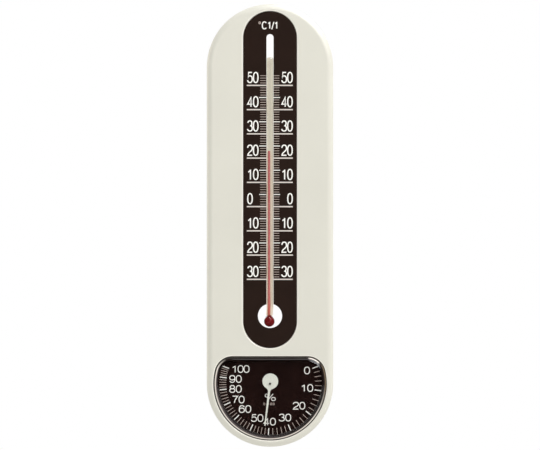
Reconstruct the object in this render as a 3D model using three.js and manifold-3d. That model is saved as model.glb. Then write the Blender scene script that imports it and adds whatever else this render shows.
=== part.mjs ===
// Wall-hung thermo-hygrometer: a two-part moulded case, a spirit thermometer above, a dial hygrometer below.
// Millimetres, +Z up, the front facing -Y. The origin is the wall screw's seat in the keyhole, on the wall.
// Heights are distances in front of the wall, so a height of 10 lies at y = -10.
import * as THREE from 'three';
import { mergeVertices } from 'three/addons/utils/BufferGeometryUtils.js';
import Module from 'manifold-3d';

// Case
const CASE_LENGTH = 280;
const CASE_WIDTH = 80;
const CASE_DEPTH = 15;
const CASE_WALL = 2;
const FACE_THICKNESS = 2.2;
const CASE_EDGE_RADIUS = 4;

// Lap joint between the front moulding and the back frame
const SEAM_GAP = 0.15;
const LIP_THICKNESS = 0.9;
const LIP_HEIGHT = 1.2;

// Scale plate and its recess
const PLATE_WIDTH = 33.6;
const PLATE_TOP_MARGIN = 4.8;
const PLATE_WINDOW_MARGIN = 5.3;
const PLATE_THICKNESS = 0.8;
const RECESS_DEPTH = 1.1;
const RECESS_CLEARANCE = 0.2;
const PLATE_SEAT_GAP = 0.1;

// Slot and bulb hole
const SLOT_CLEARANCE = 0.12;
const SLOT_TOP_MARGIN = 14.2;
const BULB_HOLE_RADIUS = 7.75;
const BULB_HOLE_RISE = 3.4;
const HOLE_STEP = 0.3;
const COLLAR_THICKNESS = 1.2;
const COLLAR_DEPTH = 4.2;

// Stiffening ribs inside the case, spaced by a share of the tube's length
const RIB_THICKNESS = 1.4;
const RIB_DEPTH = 3;
const RIB_PITCH_SHARE = 0.31;
const RIB_COUNT = 4;

// Hanger plate with its keyhole, staked on two pegs of the back frame
const HANGER_THICKNESS = 1.2;
const HANGER_SEAT_GAP = 0.1;
const PEG_X_SHARE = 0.5;
const PEG_TOP_MARGIN = 12;
const PEG_RADIUS = 1.5;
const PEG_FIT = 0.2;
const PEG_INSET = 0.2;
const LEDGE_WIDTH = 12;
const LEDGE_THICKNESS = 1.8;
const KEYHOLE_ENTRY_RADIUS = 3.5;
const KEYHOLE_SLOT_RADIUS = 1.8;
const KEYHOLE_TOP_MARGIN = 7.5;
const KEYHOLE_ENTRY_DROP = 4.9;
const KEYHOLE_WEB = 1.3;

// Thermometer tube
const TUBE_RADIUS = 2.25;
const TUBE_SET_BACK = 1.4;
const TUBE_TOP_DROP = 14.8;
const TUBE_TOP_ROUNDING = 1.4;
const BORE_RADIUS = 0.62;
const BULB_RADIUS = 3.2;
const BULB_WALL = 0.45;
const CHAMBER_RADIUS = 0.95;
const CHAMBER_LENGTH = 7;
const CHAMBER_TAPER = 1.2;
const NIB_LENGTH = 1.6;
const NIB_HOLE_RADIUS = 0.3;
const ENAMEL_FLAT_OFFSET = 1.25;
const ENAMEL_GAP = 0.05;
const ENAMEL_RISE = 3.8;

// Spirit and scale: the lowest line lies above the bulb, the highest below the tube's top
const COLUMN_CLEARANCE = 0.12;
const SPIRIT_CLEARANCE = 0.12;
const LOWEST_LINE_RISE = 26.5;
const HIGHEST_LINE_DROP = 17.75;
const LOWEST_DEGREES = -30;
const HIGHEST_DEGREES = 50;
const REST_DEGREES = 23;

// Tube clips
const CLIP_LENGTH = 7;
const CLIP_BAR_THICKNESS = 1.1;
const CLIP_LEG_THICKNESS = 1.4;
const CLIP_LEG_DEPTH = 3.2;
const CLIP_SADDLE_INSET = 0.15;
const FIT_GAP = 0.3;

// Window, cover and dial
const WINDOW_RIM = 4.2;
const WINDOW_TOP_RISE = 17.4;
const WINDOW_CORNER_RADIUS = 11.4;
const COVER_RISE = 2.5;
const COVER_WALL = 1.4;
const COVER_EDGE_RADIUS = 3.6;
const COVER_CLEARANCE = 0.25;
const COVER_FLANGE_WIDTH = 1.1;
const COVER_FLANGE_THICKNESS = 1.2;
const FRAME_RIB_THICKNESS = 1.4;
const FRAME_RIB_DEPTH = 2.4;
const DIAL_THICKNESS = 0.6;

// Backplate with the cup round the movement
const BACKPLATE_THICKNESS = 1.6;
const CUP_ORBIT_MARGIN = 5.2;
const CUP_WALL = 1.4;
const EAR_WALL_MARGIN = 7;
const EAR_RISE = 7.1;
const EAR_RADIUS = 3.4;
const BOSS_RADIUS = 2.8;
const LUG_REACH = 1.8;
const LUG_THICKNESS = 1.5;
const LUG_WIDTH = 6;
const LUG_SPREAD_DEG = 40;
const POST_CUP_MARGIN = 2.5;
const POST_RADIUS = 1.7;

// Screws
const SCREW_RADIUS = 0.9;
const SCREW_CLEARANCE = 0.2;
const SCREW_HEAD_RADIUS = 1.9;
const SCREW_HEAD_HEIGHT = 1.2;
const SCREW_CROWN = 0.4;
const SCREW_POINT = 0.6;
const SCREW_SEAT_GAP = 0.1;
const SCREW_TIP_GAP = 0.8;
const DRIVE_WIDTH = 0.45;
const DRIVE_DEPTH = 0.6;
const BACKPLATE_SCREW_LENGTH = 4.6;
const SMALL_SCREW_RADIUS = 0.65;
const SMALL_SCREW_HEAD_RADIUS = 1.4;
const SMALL_SCREW_HEAD_HEIGHT = 0.8;
const BRIDGE_SCREW_LENGTH = 3.6;
const CAP_SCREW_LENGTH = 4.2;

// Bearings, arbor and hand
const ARBOR_RADIUS = 0.6;
const ARBOR_END_INSET = 0.1;
const ARBOR_PROUD = 0.6;
const ARBOR_CHAMFER = 0.15;
const RUNNING_CLEARANCE = 0.1;
const BUSH_BODY_RADIUS = 1.7;
const BUSH_FLANGE_RADIUS = 2.6;
const BUSH_FLANGE_THICKNESS = 0.5;
const BUSH_SEAT_GAP = 0.1;
const BUSH_FIT = 0.25;
const HAND_DIAL_GAP = 2.3;
const HAND_THICKNESS = 0.4;
const HAND_HUB_RADIUS = 1.25;
const HAND_HUB_LENGTH = 1;
const HAND_DISC_RADIUS = 5.1;
const HAND_DISC_OFFSET = 1.7;
const HAND_TIP_MARGIN = 9.2;
const HAND_ROOT_WIDTH = 1.6;
const HAND_TIP_WIDTH = 1.15;
const HAND_FILLET_RADIUS = 2.4;
const HAND_REST_DEG = 6.9;

// Bridge, rear bush, regulator and coil
const BRIDGE_THICKNESS = 0.8;
const BRIDGE_WIDTH = 5.4;
const BRIDGE_SEAT_GAP = 0.1;
const BRIDGE_END_MARGIN = 1.9;
const REAR_BODY_RADIUS = 1.6;
const REAR_FLANGE_RADIUS = 2.6;
const REAR_FLANGE_THICKNESS = 0.4;
const RING_THICKNESS = 0.8;
const RING_WIDTH = 1.9;
const RING_CLEARANCE = 0.15;
const RING_SEAT_GAP = 0.3;
const ARM_WIDTH = 2.2;
const ARM_END_RADIUS = 1.5;
const STUD_RADIUS = 0.6;
const STUD_ORBIT = 9;
const STUD_CLEARANCE = 0.08;
const STUD_PROUD = 0.2;
const COLLET_RADIUS = 1.5;
const COLLET_END_GAP = 0.3;
const COIL_BRIDGE_GAP = 0.6;
const COIL_STRIP_WIDTH = 2.2;
const COIL_STRIP_THICKNESS = 0.3;
const COIL_GAP = 0.15;
const COIL_TURNS = 4.75;
const COIL_STEPS_PER_TURN = 22;
const COLLET_OVERHANG = 0.3;

// Movement cap
const CAP_MOVEMENT_GAP = 0.2;
const CAP_THICKNESS = 1.2;
const CAP_WALL = 1.3;
const CAP_SKIRT_DEPTH = 4.6;
const CAP_EAR_REACH = 2.6;
const CAP_EAR_RADIUS = 2.6;
const CAP_EAR_RISE = 2.2;
const CAP_EAR_THICKNESS = 1.2;
const CAP_BOSS_RADIUS = 2.1;
const VENT_COUNT = 12;
const VENT_WIDTH = 1.8;
const VENT_INNER_RADIUS = 6;
const VENT_CUP_MARGIN = 1.2;
const REGULATOR_SLOT_CLEARANCE = 0.4;
const REGULATOR_SWING_DEG = 12;

// Overrun of every cutting tool past the faces it cuts
const OVERRUN = 1;

// Number of straight steps in round outlines
const LARGE_ARC_STEPS = 24;
const MEDIUM_ARC_STEPS = 16;
const SMALL_ARC_STEPS = 10;
const CORNER_STEPS = 6;
const EDGE_STEPS = 5;
const ROUND_STEPS = 20;
const FINE_STEPS = 14;

// Places worked out from the sizes above
const CASE_RADIUS = CASE_WIDTH / 2;
const CASE_ARC_Z = CASE_LENGTH / 2 - CASE_RADIUS;
const FACE_BACK_HEIGHT = CASE_DEPTH - FACE_THICKNESS;
const PARTING_HEIGHT = FACE_BACK_HEIGHT - RIB_DEPTH;
const RECESS_FLOOR_HEIGHT = CASE_DEPTH - RECESS_DEPTH;
const DIAL_Z = -CASE_ARC_Z;
const WINDOW_RADIUS = CASE_RADIUS - WINDOW_RIM;
const WINDOW_TOP_Z = DIAL_Z + WINDOW_TOP_RISE;
const PLATE_RADIUS = PLATE_WIDTH / 2;
const PLATE_TOP_Z = CASE_LENGTH / 2 - PLATE_TOP_MARGIN;
const PLATE_TOP_ARC_Z = PLATE_TOP_Z - PLATE_RADIUS;
const PLATE_LOW_ARC_Z = WINDOW_TOP_Z + PLATE_WINDOW_MARGIN + PLATE_RADIUS;
const SLOT_RADIUS = TUBE_RADIUS + SLOT_CLEARANCE;
const SLOT_TOP_Z = PLATE_TOP_Z - SLOT_TOP_MARGIN;
const SLOT_TOP_ARC_Z = SLOT_TOP_Z - SLOT_RADIUS;
const BULB_Z = PLATE_LOW_ARC_Z;
const BULB_HOLE_Z = BULB_Z + BULB_HOLE_RISE;
const TUBE_TOP_Z = SLOT_TOP_Z - TUBE_TOP_DROP;
const TUBE_AXIS_HEIGHT = CASE_DEPTH - TUBE_SET_BACK;
const COLUMN_RADIUS = BORE_RADIUS - COLUMN_CLEARANCE;
const LOWEST_LINE_Z = BULB_Z + LOWEST_LINE_RISE;
const HIGHEST_LINE_Z = TUBE_TOP_Z - HIGHEST_LINE_DROP;
const DEGREE_LENGTH = (HIGHEST_LINE_Z - LOWEST_LINE_Z) / (HIGHEST_DEGREES - LOWEST_DEGREES);
const READING_Z = LOWEST_LINE_Z + (REST_DEGREES - LOWEST_DEGREES) * DEGREE_LENGTH;
const CLIP_MIDDLE_Z = (TUBE_TOP_Z + BULB_Z) / 2;
const RIB_PITCH = (TUBE_TOP_Z - BULB_Z) * RIB_PITCH_SHARE;
const KEYHOLE_SEAT_Z = CASE_LENGTH / 2 - KEYHOLE_TOP_MARGIN;
const KEYHOLE_ENTRY_Z = KEYHOLE_SEAT_Z - KEYHOLE_ENTRY_DROP;
const HANGER_LOW_Z = KEYHOLE_ENTRY_Z - KEYHOLE_ENTRY_RADIUS - KEYHOLE_WEB;
const PEG_X = CASE_RADIUS * PEG_X_SHARE;
const PEG_Z = CASE_LENGTH / 2 - PEG_TOP_MARGIN;
const COLLAR_BACK_HEIGHT = FACE_BACK_HEIGHT - COLLAR_DEPTH;
const COVER_FRONT_HEIGHT = CASE_DEPTH + COVER_RISE;
const FLANGE_FRONT_HEIGHT = FACE_BACK_HEIGHT - FIT_GAP;
const FLANGE_BACK_HEIGHT = FLANGE_FRONT_HEIGHT - COVER_FLANGE_THICKNESS;
const DIAL_FRONT_HEIGHT = FLANGE_BACK_HEIGHT - FIT_GAP;
const DIAL_BACK_HEIGHT = DIAL_FRONT_HEIGHT - DIAL_THICKNESS;
const BACKPLATE_FRONT_HEIGHT = DIAL_BACK_HEIGHT - FIT_GAP;
const BACKPLATE_BACK_HEIGHT = BACKPLATE_FRONT_HEIGHT - BACKPLATE_THICKNESS;
const BUSH_HOLE_RADIUS = BUSH_BODY_RADIUS + BUSH_FIT;
const BUSH_BACK_HEIGHT = BACKPLATE_BACK_HEIGHT - BUSH_SEAT_GAP;
const COLLET_FRONT_HEIGHT = BUSH_BACK_HEIGHT - COLLET_END_GAP;
const COIL_FRONT_HEIGHT = COLLET_FRONT_HEIGHT - COLLET_OVERHANG;
const COIL_BACK_HEIGHT = COIL_FRONT_HEIGHT - COIL_STRIP_WIDTH;
const FRAME_BACK_HEIGHT = FACE_BACK_HEIGHT - FRAME_RIB_DEPTH;
const BRIDGE_FRONT_HEIGHT = COIL_BACK_HEIGHT - COIL_BRIDGE_GAP;
const BRIDGE_BACK_HEIGHT = BRIDGE_FRONT_HEIGHT - BRIDGE_THICKNESS;
const POST_BACK_HEIGHT = BRIDGE_FRONT_HEIGHT + BRIDGE_SEAT_GAP;
const RING_FRONT_HEIGHT = BRIDGE_BACK_HEIGHT - RING_SEAT_GAP;
const RING_BACK_HEIGHT = RING_FRONT_HEIGHT - RING_THICKNESS;
const REAR_FLANGE_FRONT_HEIGHT = RING_BACK_HEIGHT - BUSH_SEAT_GAP;
const REAR_FLANGE_BACK_HEIGHT = REAR_FLANGE_FRONT_HEIGHT - REAR_FLANGE_THICKNESS;
const HAND_HEIGHT = DIAL_FRONT_HEIGHT + HAND_DIAL_GAP;
const HAND_REACH = WINDOW_RADIUS - HAND_TIP_MARGIN;
const CUP_INNER_RADIUS = STUD_ORBIT + CUP_ORBIT_MARGIN;
const CUP_OUTER_RADIUS = CUP_INNER_RADIUS + CUP_WALL;
const POST_X = CUP_INNER_RADIUS - POST_CUP_MARGIN;
const EAR_X = CASE_RADIUS - CASE_WALL - EAR_WALL_MARGIN;
const EAR_Z = WINDOW_TOP_Z + EAR_RISE;
const CAP_FRONT_HEIGHT = REAR_FLANGE_BACK_HEIGHT - CAP_MOVEMENT_GAP;
const CAP_BACK_HEIGHT = CAP_FRONT_HEIGHT - CAP_THICKNESS;
const CUP_BACK_HEIGHT = CAP_FRONT_HEIGHT + FIT_GAP;
const CAP_SKIRT_INNER_RADIUS = CUP_OUTER_RADIUS + FIT_GAP;
const CAP_OUTER_RADIUS = CAP_SKIRT_INNER_RADIUS + CAP_WALL;
const CAP_EAR_X = CAP_OUTER_RADIUS + CAP_EAR_REACH;
const CAP_EAR_HEIGHT = CAP_BACK_HEIGHT + CAP_EAR_RISE;
const CAP_BOSS_BACK_HEIGHT = CAP_EAR_HEIGHT + CAP_EAR_THICKNESS + FIT_GAP;

const wasm = await Module();
wasm.setup();

// Turns a closed three.js geometry into a solid that can be joined and cut.
function solidOf(geometry) {
  const bare = geometry.clone();
  bare.deleteAttribute('normal');
  bare.deleteAttribute('uv');
  const merged = mergeVertices(bare);
  return new wasm.Manifold(new wasm.Mesh({
    numProp: 3,
    vertProperties: new Float32Array(merged.attributes.position.array),
    triVerts: new Uint32Array(merged.index.array),
  }));
}

// Turns a solid back into a three.js geometry.
function geometryOf(solid) {
  const mesh = solid.getMesh();
  const geometry = new THREE.BufferGeometry();
  geometry.setAttribute('position', new THREE.BufferAttribute(mesh.vertProperties, 3));
  geometry.setIndex(new THREE.BufferAttribute(mesh.triVerts, 1));
  geometry.computeVertexNormals();
  return geometry;
}

// Joins a list of solids.
function join(...solids) {
  return solids.reduce((sum, solid) => sum.add(solid));
}

// Points of an arc seen from the front, from one angle to another in radians.
function arc(x, z, radius, from, to, steps) {
  const points = [];
  for (let i = 0; i <= steps; i += 1) {
    const angle = from + (to - from) * i / steps;
    points.push(new THREE.Vector2(x + radius * Math.cos(angle), z + radius * Math.sin(angle)));
  }
  return points;
}

// A full circle seen from the front.
function circle(x, z, radius, steps = ROUND_STEPS) {
  return arc(x, z, radius, 0, 2 * Math.PI, steps).slice(0, steps);
}

// An upright outline with two half-round ends about the arc centres lowZ and highZ.
function stadium(x, lowZ, highZ, radius, steps) {
  return [
    ...arc(x, highZ, radius, 0, Math.PI, steps),
    ...arc(x, lowZ, radius, Math.PI, 2 * Math.PI, steps),
  ];
}

// An upright rectangle seen from the front.
function rectangle(lowX, highX, lowZ, highZ) {
  return [
    new THREE.Vector2(lowX, lowZ),
    new THREE.Vector2(highX, lowZ),
    new THREE.Vector2(highX, highZ),
    new THREE.Vector2(lowX, highZ),
  ];
}

// The D-shaped window outline, moved inwards by inset: a big arc, a flat top and two rounded corners.
function windowOutline(inset) {
  const cornerRise = WINDOW_TOP_RISE - WINDOW_CORNER_RADIUS;
  const cornerReach = WINDOW_RADIUS - WINDOW_CORNER_RADIUS;
  const cornerX = Math.sqrt(cornerReach ** 2 - cornerRise ** 2);
  const tangent = Math.atan2(cornerRise, cornerX);
  const cornerZ = DIAL_Z + cornerRise;
  const corner = WINDOW_CORNER_RADIUS - inset;
  return [
    ...arc(0, DIAL_Z, WINDOW_RADIUS - inset, Math.PI - tangent, 2 * Math.PI + tangent, LARGE_ARC_STEPS),
    ...arc(cornerX, cornerZ, corner, tangent, Math.PI / 2, CORNER_STEPS).slice(1),
    ...arc(-cornerX, cornerZ, corner, Math.PI / 2, Math.PI - tangent, CORNER_STEPS).slice(0, -1),
  ];
}

// A flat piece of an outline seen from the front, between two heights above the wall.
function slabGeometry(points, low, high) {
  const shape = new THREE.Shape(points);
  const geometry = new THREE.ExtrudeGeometry(shape, { depth: high - low, bevelEnabled: false });
  geometry.rotateX(Math.PI / 2);
  geometry.translate(0, -low, 0);
  return geometry;
}

function slab(points, low, high) {
  return solidOf(slabGeometry(points, low, high));
}

// A slab whose front edge is rounded all the way round.
function roundedSlab(points, low, high, radius) {
  const geometry = new THREE.ExtrudeGeometry(new THREE.Shape(points), {
    depth: high - low - radius,
    bevelThickness: radius,
    bevelSize: radius,
    bevelOffset: -radius,
    bevelSegments: EDGE_STEPS,
  });
  geometry.rotateX(Math.PI / 2);
  geometry.translate(0, -low, 0);
  return solidOf(geometry).subtract(slab(points, low - radius - OVERRUN, low));
}

// A round piece about the axis (x, z) square to the wall, between two heights.
function disc(x, z, radius, low, high, steps = ROUND_STEPS) {
  return slab(circle(x, z, radius, steps), low, high);
}

// A turned piece square to the wall: the profile lists [radius, height] pairs from the back to the front.
function turned(x, z, profile, steps) {
  const points = profile.map(([radius, height]) => new THREE.Vector2(radius, height));
  const geometry = new THREE.LatheGeometry(points, steps);
  geometry.rotateX(Math.PI);
  geometry.translate(x, 0, z);
  return geometry;
}

// The slot and the bulb hole in one cutting tool, each side larger by margin.
function openingTool(margin, low, high) {
  const slot = stadium(0, BULB_HOLE_Z, SLOT_TOP_ARC_Z, SLOT_RADIUS + margin, SMALL_ARC_STEPS);
  const hole = circle(0, BULB_HOLE_Z, BULB_HOLE_RADIUS + margin, 2 * MEDIUM_ARC_STEPS);
  return join(slab(slot, low, high), slab(hole, low, high));
}

// The case's outline, moved inwards by inset.
function caseOutline(inset) {
  return stadium(0, -CASE_ARC_Z, CASE_ARC_Z, CASE_RADIUS - inset, LARGE_ARC_STEPS);
}

// A wall that follows the case's outline between two insets and two heights.
function caseRing(outerInset, innerInset, low, high) {
  return slab(caseOutline(outerInset), low, high)
    .subtract(slab(caseOutline(innerInset), low - OVERRUN, high + OVERRUN));
}

// Front moulding: face with its short skirt, window, recess, slot, collar, ribs and bosses.
function caseShell() {
  const hollow = roundedSlab(
    caseOutline(CASE_WALL), PARTING_HEIGHT - OVERRUN, FACE_BACK_HEIGHT, CASE_EDGE_RADIUS - CASE_WALL,
  );
  const shell = roundedSlab(caseOutline(0), PARTING_HEIGHT, CASE_DEPTH, CASE_EDGE_RADIUS).subtract(hollow);
  const added = join(
    openingTool(HOLE_STEP + COLLAR_THICKNESS, COLLAR_BACK_HEIGHT, FACE_BACK_HEIGHT + OVERRUN / 2),
    crossRibs(),
    windowFrame(),
    bosses(),
  ).intersect(slab(caseOutline(CASE_WALL / 2), 0, CASE_DEPTH - RECESS_DEPTH));
  const plateOutline = stadium(
    0, PLATE_LOW_ARC_Z, PLATE_TOP_ARC_Z, PLATE_RADIUS + RECESS_CLEARANCE, MEDIUM_ARC_STEPS,
  );
  const groove = caseRing(
    CASE_WALL - LIP_THICKNESS - SEAM_GAP, CASE_WALL + SEAM_GAP,
    PARTING_HEIGHT - OVERRUN, PARTING_HEIGHT + LIP_HEIGHT + SEAM_GAP,
  );
  return join(shell, added)
    .subtract(groove)
    .subtract(slab(plateOutline, RECESS_FLOOR_HEIGHT, CASE_DEPTH + OVERRUN))
    .subtract(openingTool(HOLE_STEP, COLLAR_BACK_HEIGHT - OVERRUN, CASE_DEPTH + OVERRUN))
    .subtract(slab(windowOutline(0), DIAL_BACK_HEIGHT, CASE_DEPTH + OVERRUN))
    .subtract(bossHoles());
}

// Back frame: the deep wall with the lip that enters the front moulding, the lugs and the hanger's ledges.
function backFrame() {
  return join(
    caseRing(0, CASE_WALL, 0, PARTING_HEIGHT - SEAM_GAP),
    caseRing(CASE_WALL - LIP_THICKNESS, CASE_WALL, 0, PARTING_HEIGHT + LIP_HEIGHT),
    lugs(),
    hangerLedges(),
  );
}

// Two ledges in the top end, each with a peg that passes through the hanger plate.
function hangerLedges() {
  const back = HANGER_THICKNESS + HANGER_SEAT_GAP;
  const front = back + LEDGE_THICKNESS;
  return join(...[-PEG_X, PEG_X].map((x) => {
    const block = rectangle(x - LEDGE_WIDTH / 2, x + LEDGE_WIDTH / 2, HANGER_LOW_Z, CASE_LENGTH / 2);
    return slab(block, back, front)
      .intersect(slab(caseOutline(CASE_WALL / 2), back, front))
      .add(disc(x, PEG_Z, PEG_RADIUS, PEG_INSET, back + LEDGE_THICKNESS / 2));
  }));
}

// Low ribs from wall to wall behind the face, midway between the tube's clips.
function crossRibs() {
  const ribs = [];
  for (let i = 0; i < RIB_COUNT; i += 1) {
    const z = CLIP_MIDDLE_Z + (i - (RIB_COUNT - 1) / 2) * RIB_PITCH;
    const outline = rectangle(-CASE_RADIUS, CASE_RADIUS, z - RIB_THICKNESS / 2, z + RIB_THICKNESS / 2);
    ribs.push(slab(outline, FACE_BACK_HEIGHT - RIB_DEPTH, FACE_BACK_HEIGHT + OVERRUN / 2));
  }
  return join(...ribs);
}

// The rib that frames the cover's flange and the dial behind the window.
function windowFrame() {
  const pocket = -COVER_FLANGE_WIDTH - FIT_GAP;
  return slab(windowOutline(pocket - FRAME_RIB_THICKNESS), FRAME_BACK_HEIGHT, FACE_BACK_HEIGHT + OVERRUN / 2)
    .subtract(slab(windowOutline(pocket), FRAME_BACK_HEIGHT - OVERRUN, FACE_BACK_HEIGHT));
}

function bosses() {
  return join(...[-EAR_X, EAR_X].map((x) => (
    disc(x, EAR_Z, BOSS_RADIUS, FRAME_BACK_HEIGHT, FACE_BACK_HEIGHT + OVERRUN / 2)
  )));
}

function bossHoles() {
  const radius = SCREW_RADIUS + SCREW_CLEARANCE;
  const end = holeEnd(BACKPLATE_BACK_HEIGHT, BACKPLATE_SCREW_LENGTH);
  return join(...[-EAR_X, EAR_X].map((x) => disc(x, EAR_Z, radius, FRAME_BACK_HEIGHT - OVERRUN, end)));
}

// Height at which the pilot hole ends for a screw of a given length on a given seat.
function holeEnd(seat, length) {
  return seat - SCREW_SEAT_GAP + length + SCREW_TIP_GAP;
}

// Two lugs on the lower wall that hold the backplate's bottom edge.
function lugs() {
  const top = BACKPLATE_BACK_HEIGHT - FIT_GAP;
  const outer = CASE_RADIUS - CASE_WALL / 2;
  const inner = CASE_RADIUS - CASE_WALL - LUG_REACH;
  return join(...[-LUG_SPREAD_DEG, LUG_SPREAD_DEG].map((degrees) => (
    slab(rectangle(-LUG_WIDTH / 2, LUG_WIDTH / 2, -outer, -inner), top - LUG_THICKNESS, top)
      .rotate([0, degrees, 0])
      .translate([0, 0, DIAL_Z])
  )));
}

// Steel plate across the frame's top end, level with the wall, with the keyhole and a hole for each peg.
function hangerPlate() {
  const block = rectangle(-CASE_RADIUS, CASE_RADIUS, HANGER_LOW_Z, CASE_LENGTH / 2);
  const through = [-OVERRUN, HANGER_THICKNESS + OVERRUN];
  const slot = stadium(0, KEYHOLE_ENTRY_Z, KEYHOLE_SEAT_Z, KEYHOLE_SLOT_RADIUS, SMALL_ARC_STEPS);
  return slab(block, 0, HANGER_THICKNESS)
    .intersect(slab(caseOutline(CASE_WALL + FIT_GAP), 0, HANGER_THICKNESS))
    .subtract(disc(0, KEYHOLE_ENTRY_Z, KEYHOLE_ENTRY_RADIUS, ...through))
    .subtract(slab(slot, ...through))
    .subtract(disc(-PEG_X, PEG_Z, PEG_RADIUS + PEG_FIT, ...through))
    .subtract(disc(PEG_X, PEG_Z, PEG_RADIUS + PEG_FIT, ...through));
}

// Scale plate with the slot and the bulb hole.
function scalePlate() {
  const low = RECESS_FLOOR_HEIGHT + PLATE_SEAT_GAP;
  const high = low + PLATE_THICKNESS;
  const outline = stadium(0, PLATE_LOW_ARC_Z, PLATE_TOP_ARC_Z, PLATE_RADIUS, MEDIUM_ARC_STEPS);
  return slab(outline, low, high).subtract(openingTool(0, low - OVERRUN, high + OVERRUN));
}

// The part of the round stem behind the flat that carries the enamel.
function enamelSide(offset) {
  const back = TUBE_AXIS_HEIGHT - offset;
  const outline = rectangle(-BULB_RADIUS, BULB_RADIUS, BULB_Z + ENAMEL_RISE, TUBE_TOP_Z + OVERRUN);
  return slab(outline, back - BULB_RADIUS, back);
}

// An upright turned piece on the tube's axis: the profile lists [radius, z] pairs.
function uprightTurned(profile, steps) {
  const points = profile.map(([radius, z]) => new THREE.Vector2(radius, z));
  const geometry = new THREE.LatheGeometry(points, steps);
  geometry.rotateX(Math.PI / 2);
  geometry.translate(0, -TUBE_AXIS_HEIGHT, 0);
  return geometry;
}

// Points [radius, z] of a quarter or more of a ball, from one angle above the level to another.
function ballProfile(radius, z, from, to, steps) {
  return arc(0, z, radius, from, to, steps).map((point) => [Math.max(point.x, 0), point.y]);
}

// Glass stem and bulb, with the bore, the chamber above it and the drawn nib at the top.
function tubeGlass() {
  const neck = Math.acos(TUBE_RADIUS / BULB_RADIUS);
  const innerRadius = BULB_RADIUS - BULB_WALL;
  const innerNeck = Math.acos(BORE_RADIUS / innerRadius);
  const chamberTop = TUBE_TOP_Z - NIB_LENGTH;
  const chamberLow = chamberTop - CHAMBER_LENGTH;
  const shoulder = TUBE_TOP_Z - TUBE_TOP_ROUNDING;
  const profile = [
    ...ballProfile(BULB_RADIUS, BULB_Z, -Math.PI / 2, neck, SMALL_ARC_STEPS),
    ...arc(TUBE_RADIUS - TUBE_TOP_ROUNDING, shoulder, TUBE_TOP_ROUNDING, 0, Math.PI / 2, CORNER_STEPS)
      .map((point) => [point.x, point.y]),
    [NIB_HOLE_RADIUS, TUBE_TOP_Z],
    [NIB_HOLE_RADIUS, chamberTop + NIB_HOLE_RADIUS],
    [CHAMBER_RADIUS, chamberTop - CHAMBER_TAPER],
    [CHAMBER_RADIUS, chamberLow + CHAMBER_TAPER],
    [BORE_RADIUS, chamberLow],
    ...ballProfile(innerRadius, BULB_Z, innerNeck, -Math.PI / 2, SMALL_ARC_STEPS),
  ];
  return solidOf(uprightTurned(profile, ROUND_STEPS));
}

function thermometerTube() {
  return tubeGlass().subtract(enamelSide(ENAMEL_FLAT_OFFSET));
}

// The cream strip that makes up the rear of the round stem.
function enamelStrip() {
  const low = BULB_Z + ENAMEL_RISE;
  const shoulder = TUBE_TOP_Z - TUBE_TOP_ROUNDING;
  const profile = [[0, low], [TUBE_RADIUS, low], [TUBE_RADIUS, shoulder], [0, shoulder]];
  return solidOf(uprightTurned(profile, ROUND_STEPS)).intersect(enamelSide(ENAMEL_FLAT_OFFSET + ENAMEL_GAP));
}

// Red spirit in the bore, from the neck of the bulb to the reading.
function spiritColumn() {
  const low = BULB_Z + BULB_RADIUS - BULB_WALL;
  return uprightTurned(
    [[0, low], [COLUMN_RADIUS, low], [COLUMN_RADIUS, READING_Z - COLUMN_RADIUS], [0, READING_Z]], FINE_STEPS,
  );
}

function bulbSpirit() {
  const radius = BULB_RADIUS - BULB_WALL - SPIRIT_CLEARANCE;
  return uprightTurned(ballProfile(radius, BULB_Z, -Math.PI / 2, Math.PI / 2, SMALL_ARC_STEPS), FINE_STEPS);
}

// A push-on clip: a bar behind the collar, a leg outside each collar wall and a saddle behind the tube.
function tubeClip() {
  const collarOuter = SLOT_RADIUS + HOLE_STEP + COLLAR_THICKNESS;
  const legInner = collarOuter + FIT_GAP;
  const legOuter = legInner + CLIP_LEG_THICKNESS;
  const barFront = COLLAR_BACK_HEIGHT - FIT_GAP;
  const barBack = barFront - CLIP_BAR_THICKNESS;
  const legFront = barFront + CLIP_LEG_DEPTH;
  const half = TUBE_RADIUS - CLIP_SADDLE_INSET;
  const seat = TUBE_RADIUS + FIT_GAP;
  const spread = Math.asin(half / seat);
  const saddle = arc(0, TUBE_AXIS_HEIGHT, seat, -Math.PI / 2 + spread, -Math.PI / 2 - spread, CORNER_STEPS);
  const shape = new THREE.Shape([
    new THREE.Vector2(-legOuter, barBack),
    new THREE.Vector2(legOuter, barBack),
    new THREE.Vector2(legOuter, legFront),
    new THREE.Vector2(legInner, legFront),
    new THREE.Vector2(legInner, barFront),
    new THREE.Vector2(half, barFront),
    ...saddle,
    new THREE.Vector2(-half, barFront),
    new THREE.Vector2(-legInner, barFront),
    new THREE.Vector2(-legInner, legFront),
    new THREE.Vector2(-legOuter, legFront),
  ]);
  const geometry = new THREE.ExtrudeGeometry(shape, { depth: CLIP_LENGTH, bevelEnabled: false });
  geometry.translate(0, 0, -CLIP_LENGTH / 2);
  geometry.rotateZ(Math.PI);
  return geometry;
}

// Clear cover: a shallow dish with rounded edges and a flange behind the case's face.
function windowCover() {
  const body = roundedSlab(
    windowOutline(COVER_CLEARANCE), FLANGE_BACK_HEIGHT, COVER_FRONT_HEIGHT, COVER_EDGE_RADIUS,
  );
  const flange = slab(windowOutline(-COVER_FLANGE_WIDTH), FLANGE_BACK_HEIGHT, FLANGE_FRONT_HEIGHT);
  const hollow = roundedSlab(
    windowOutline(COVER_CLEARANCE + COVER_WALL), FLANGE_BACK_HEIGHT - OVERRUN,
    COVER_FRONT_HEIGHT - COVER_WALL, COVER_EDGE_RADIUS - COVER_WALL,
  );
  return join(body, flange).subtract(hollow);
}

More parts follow.
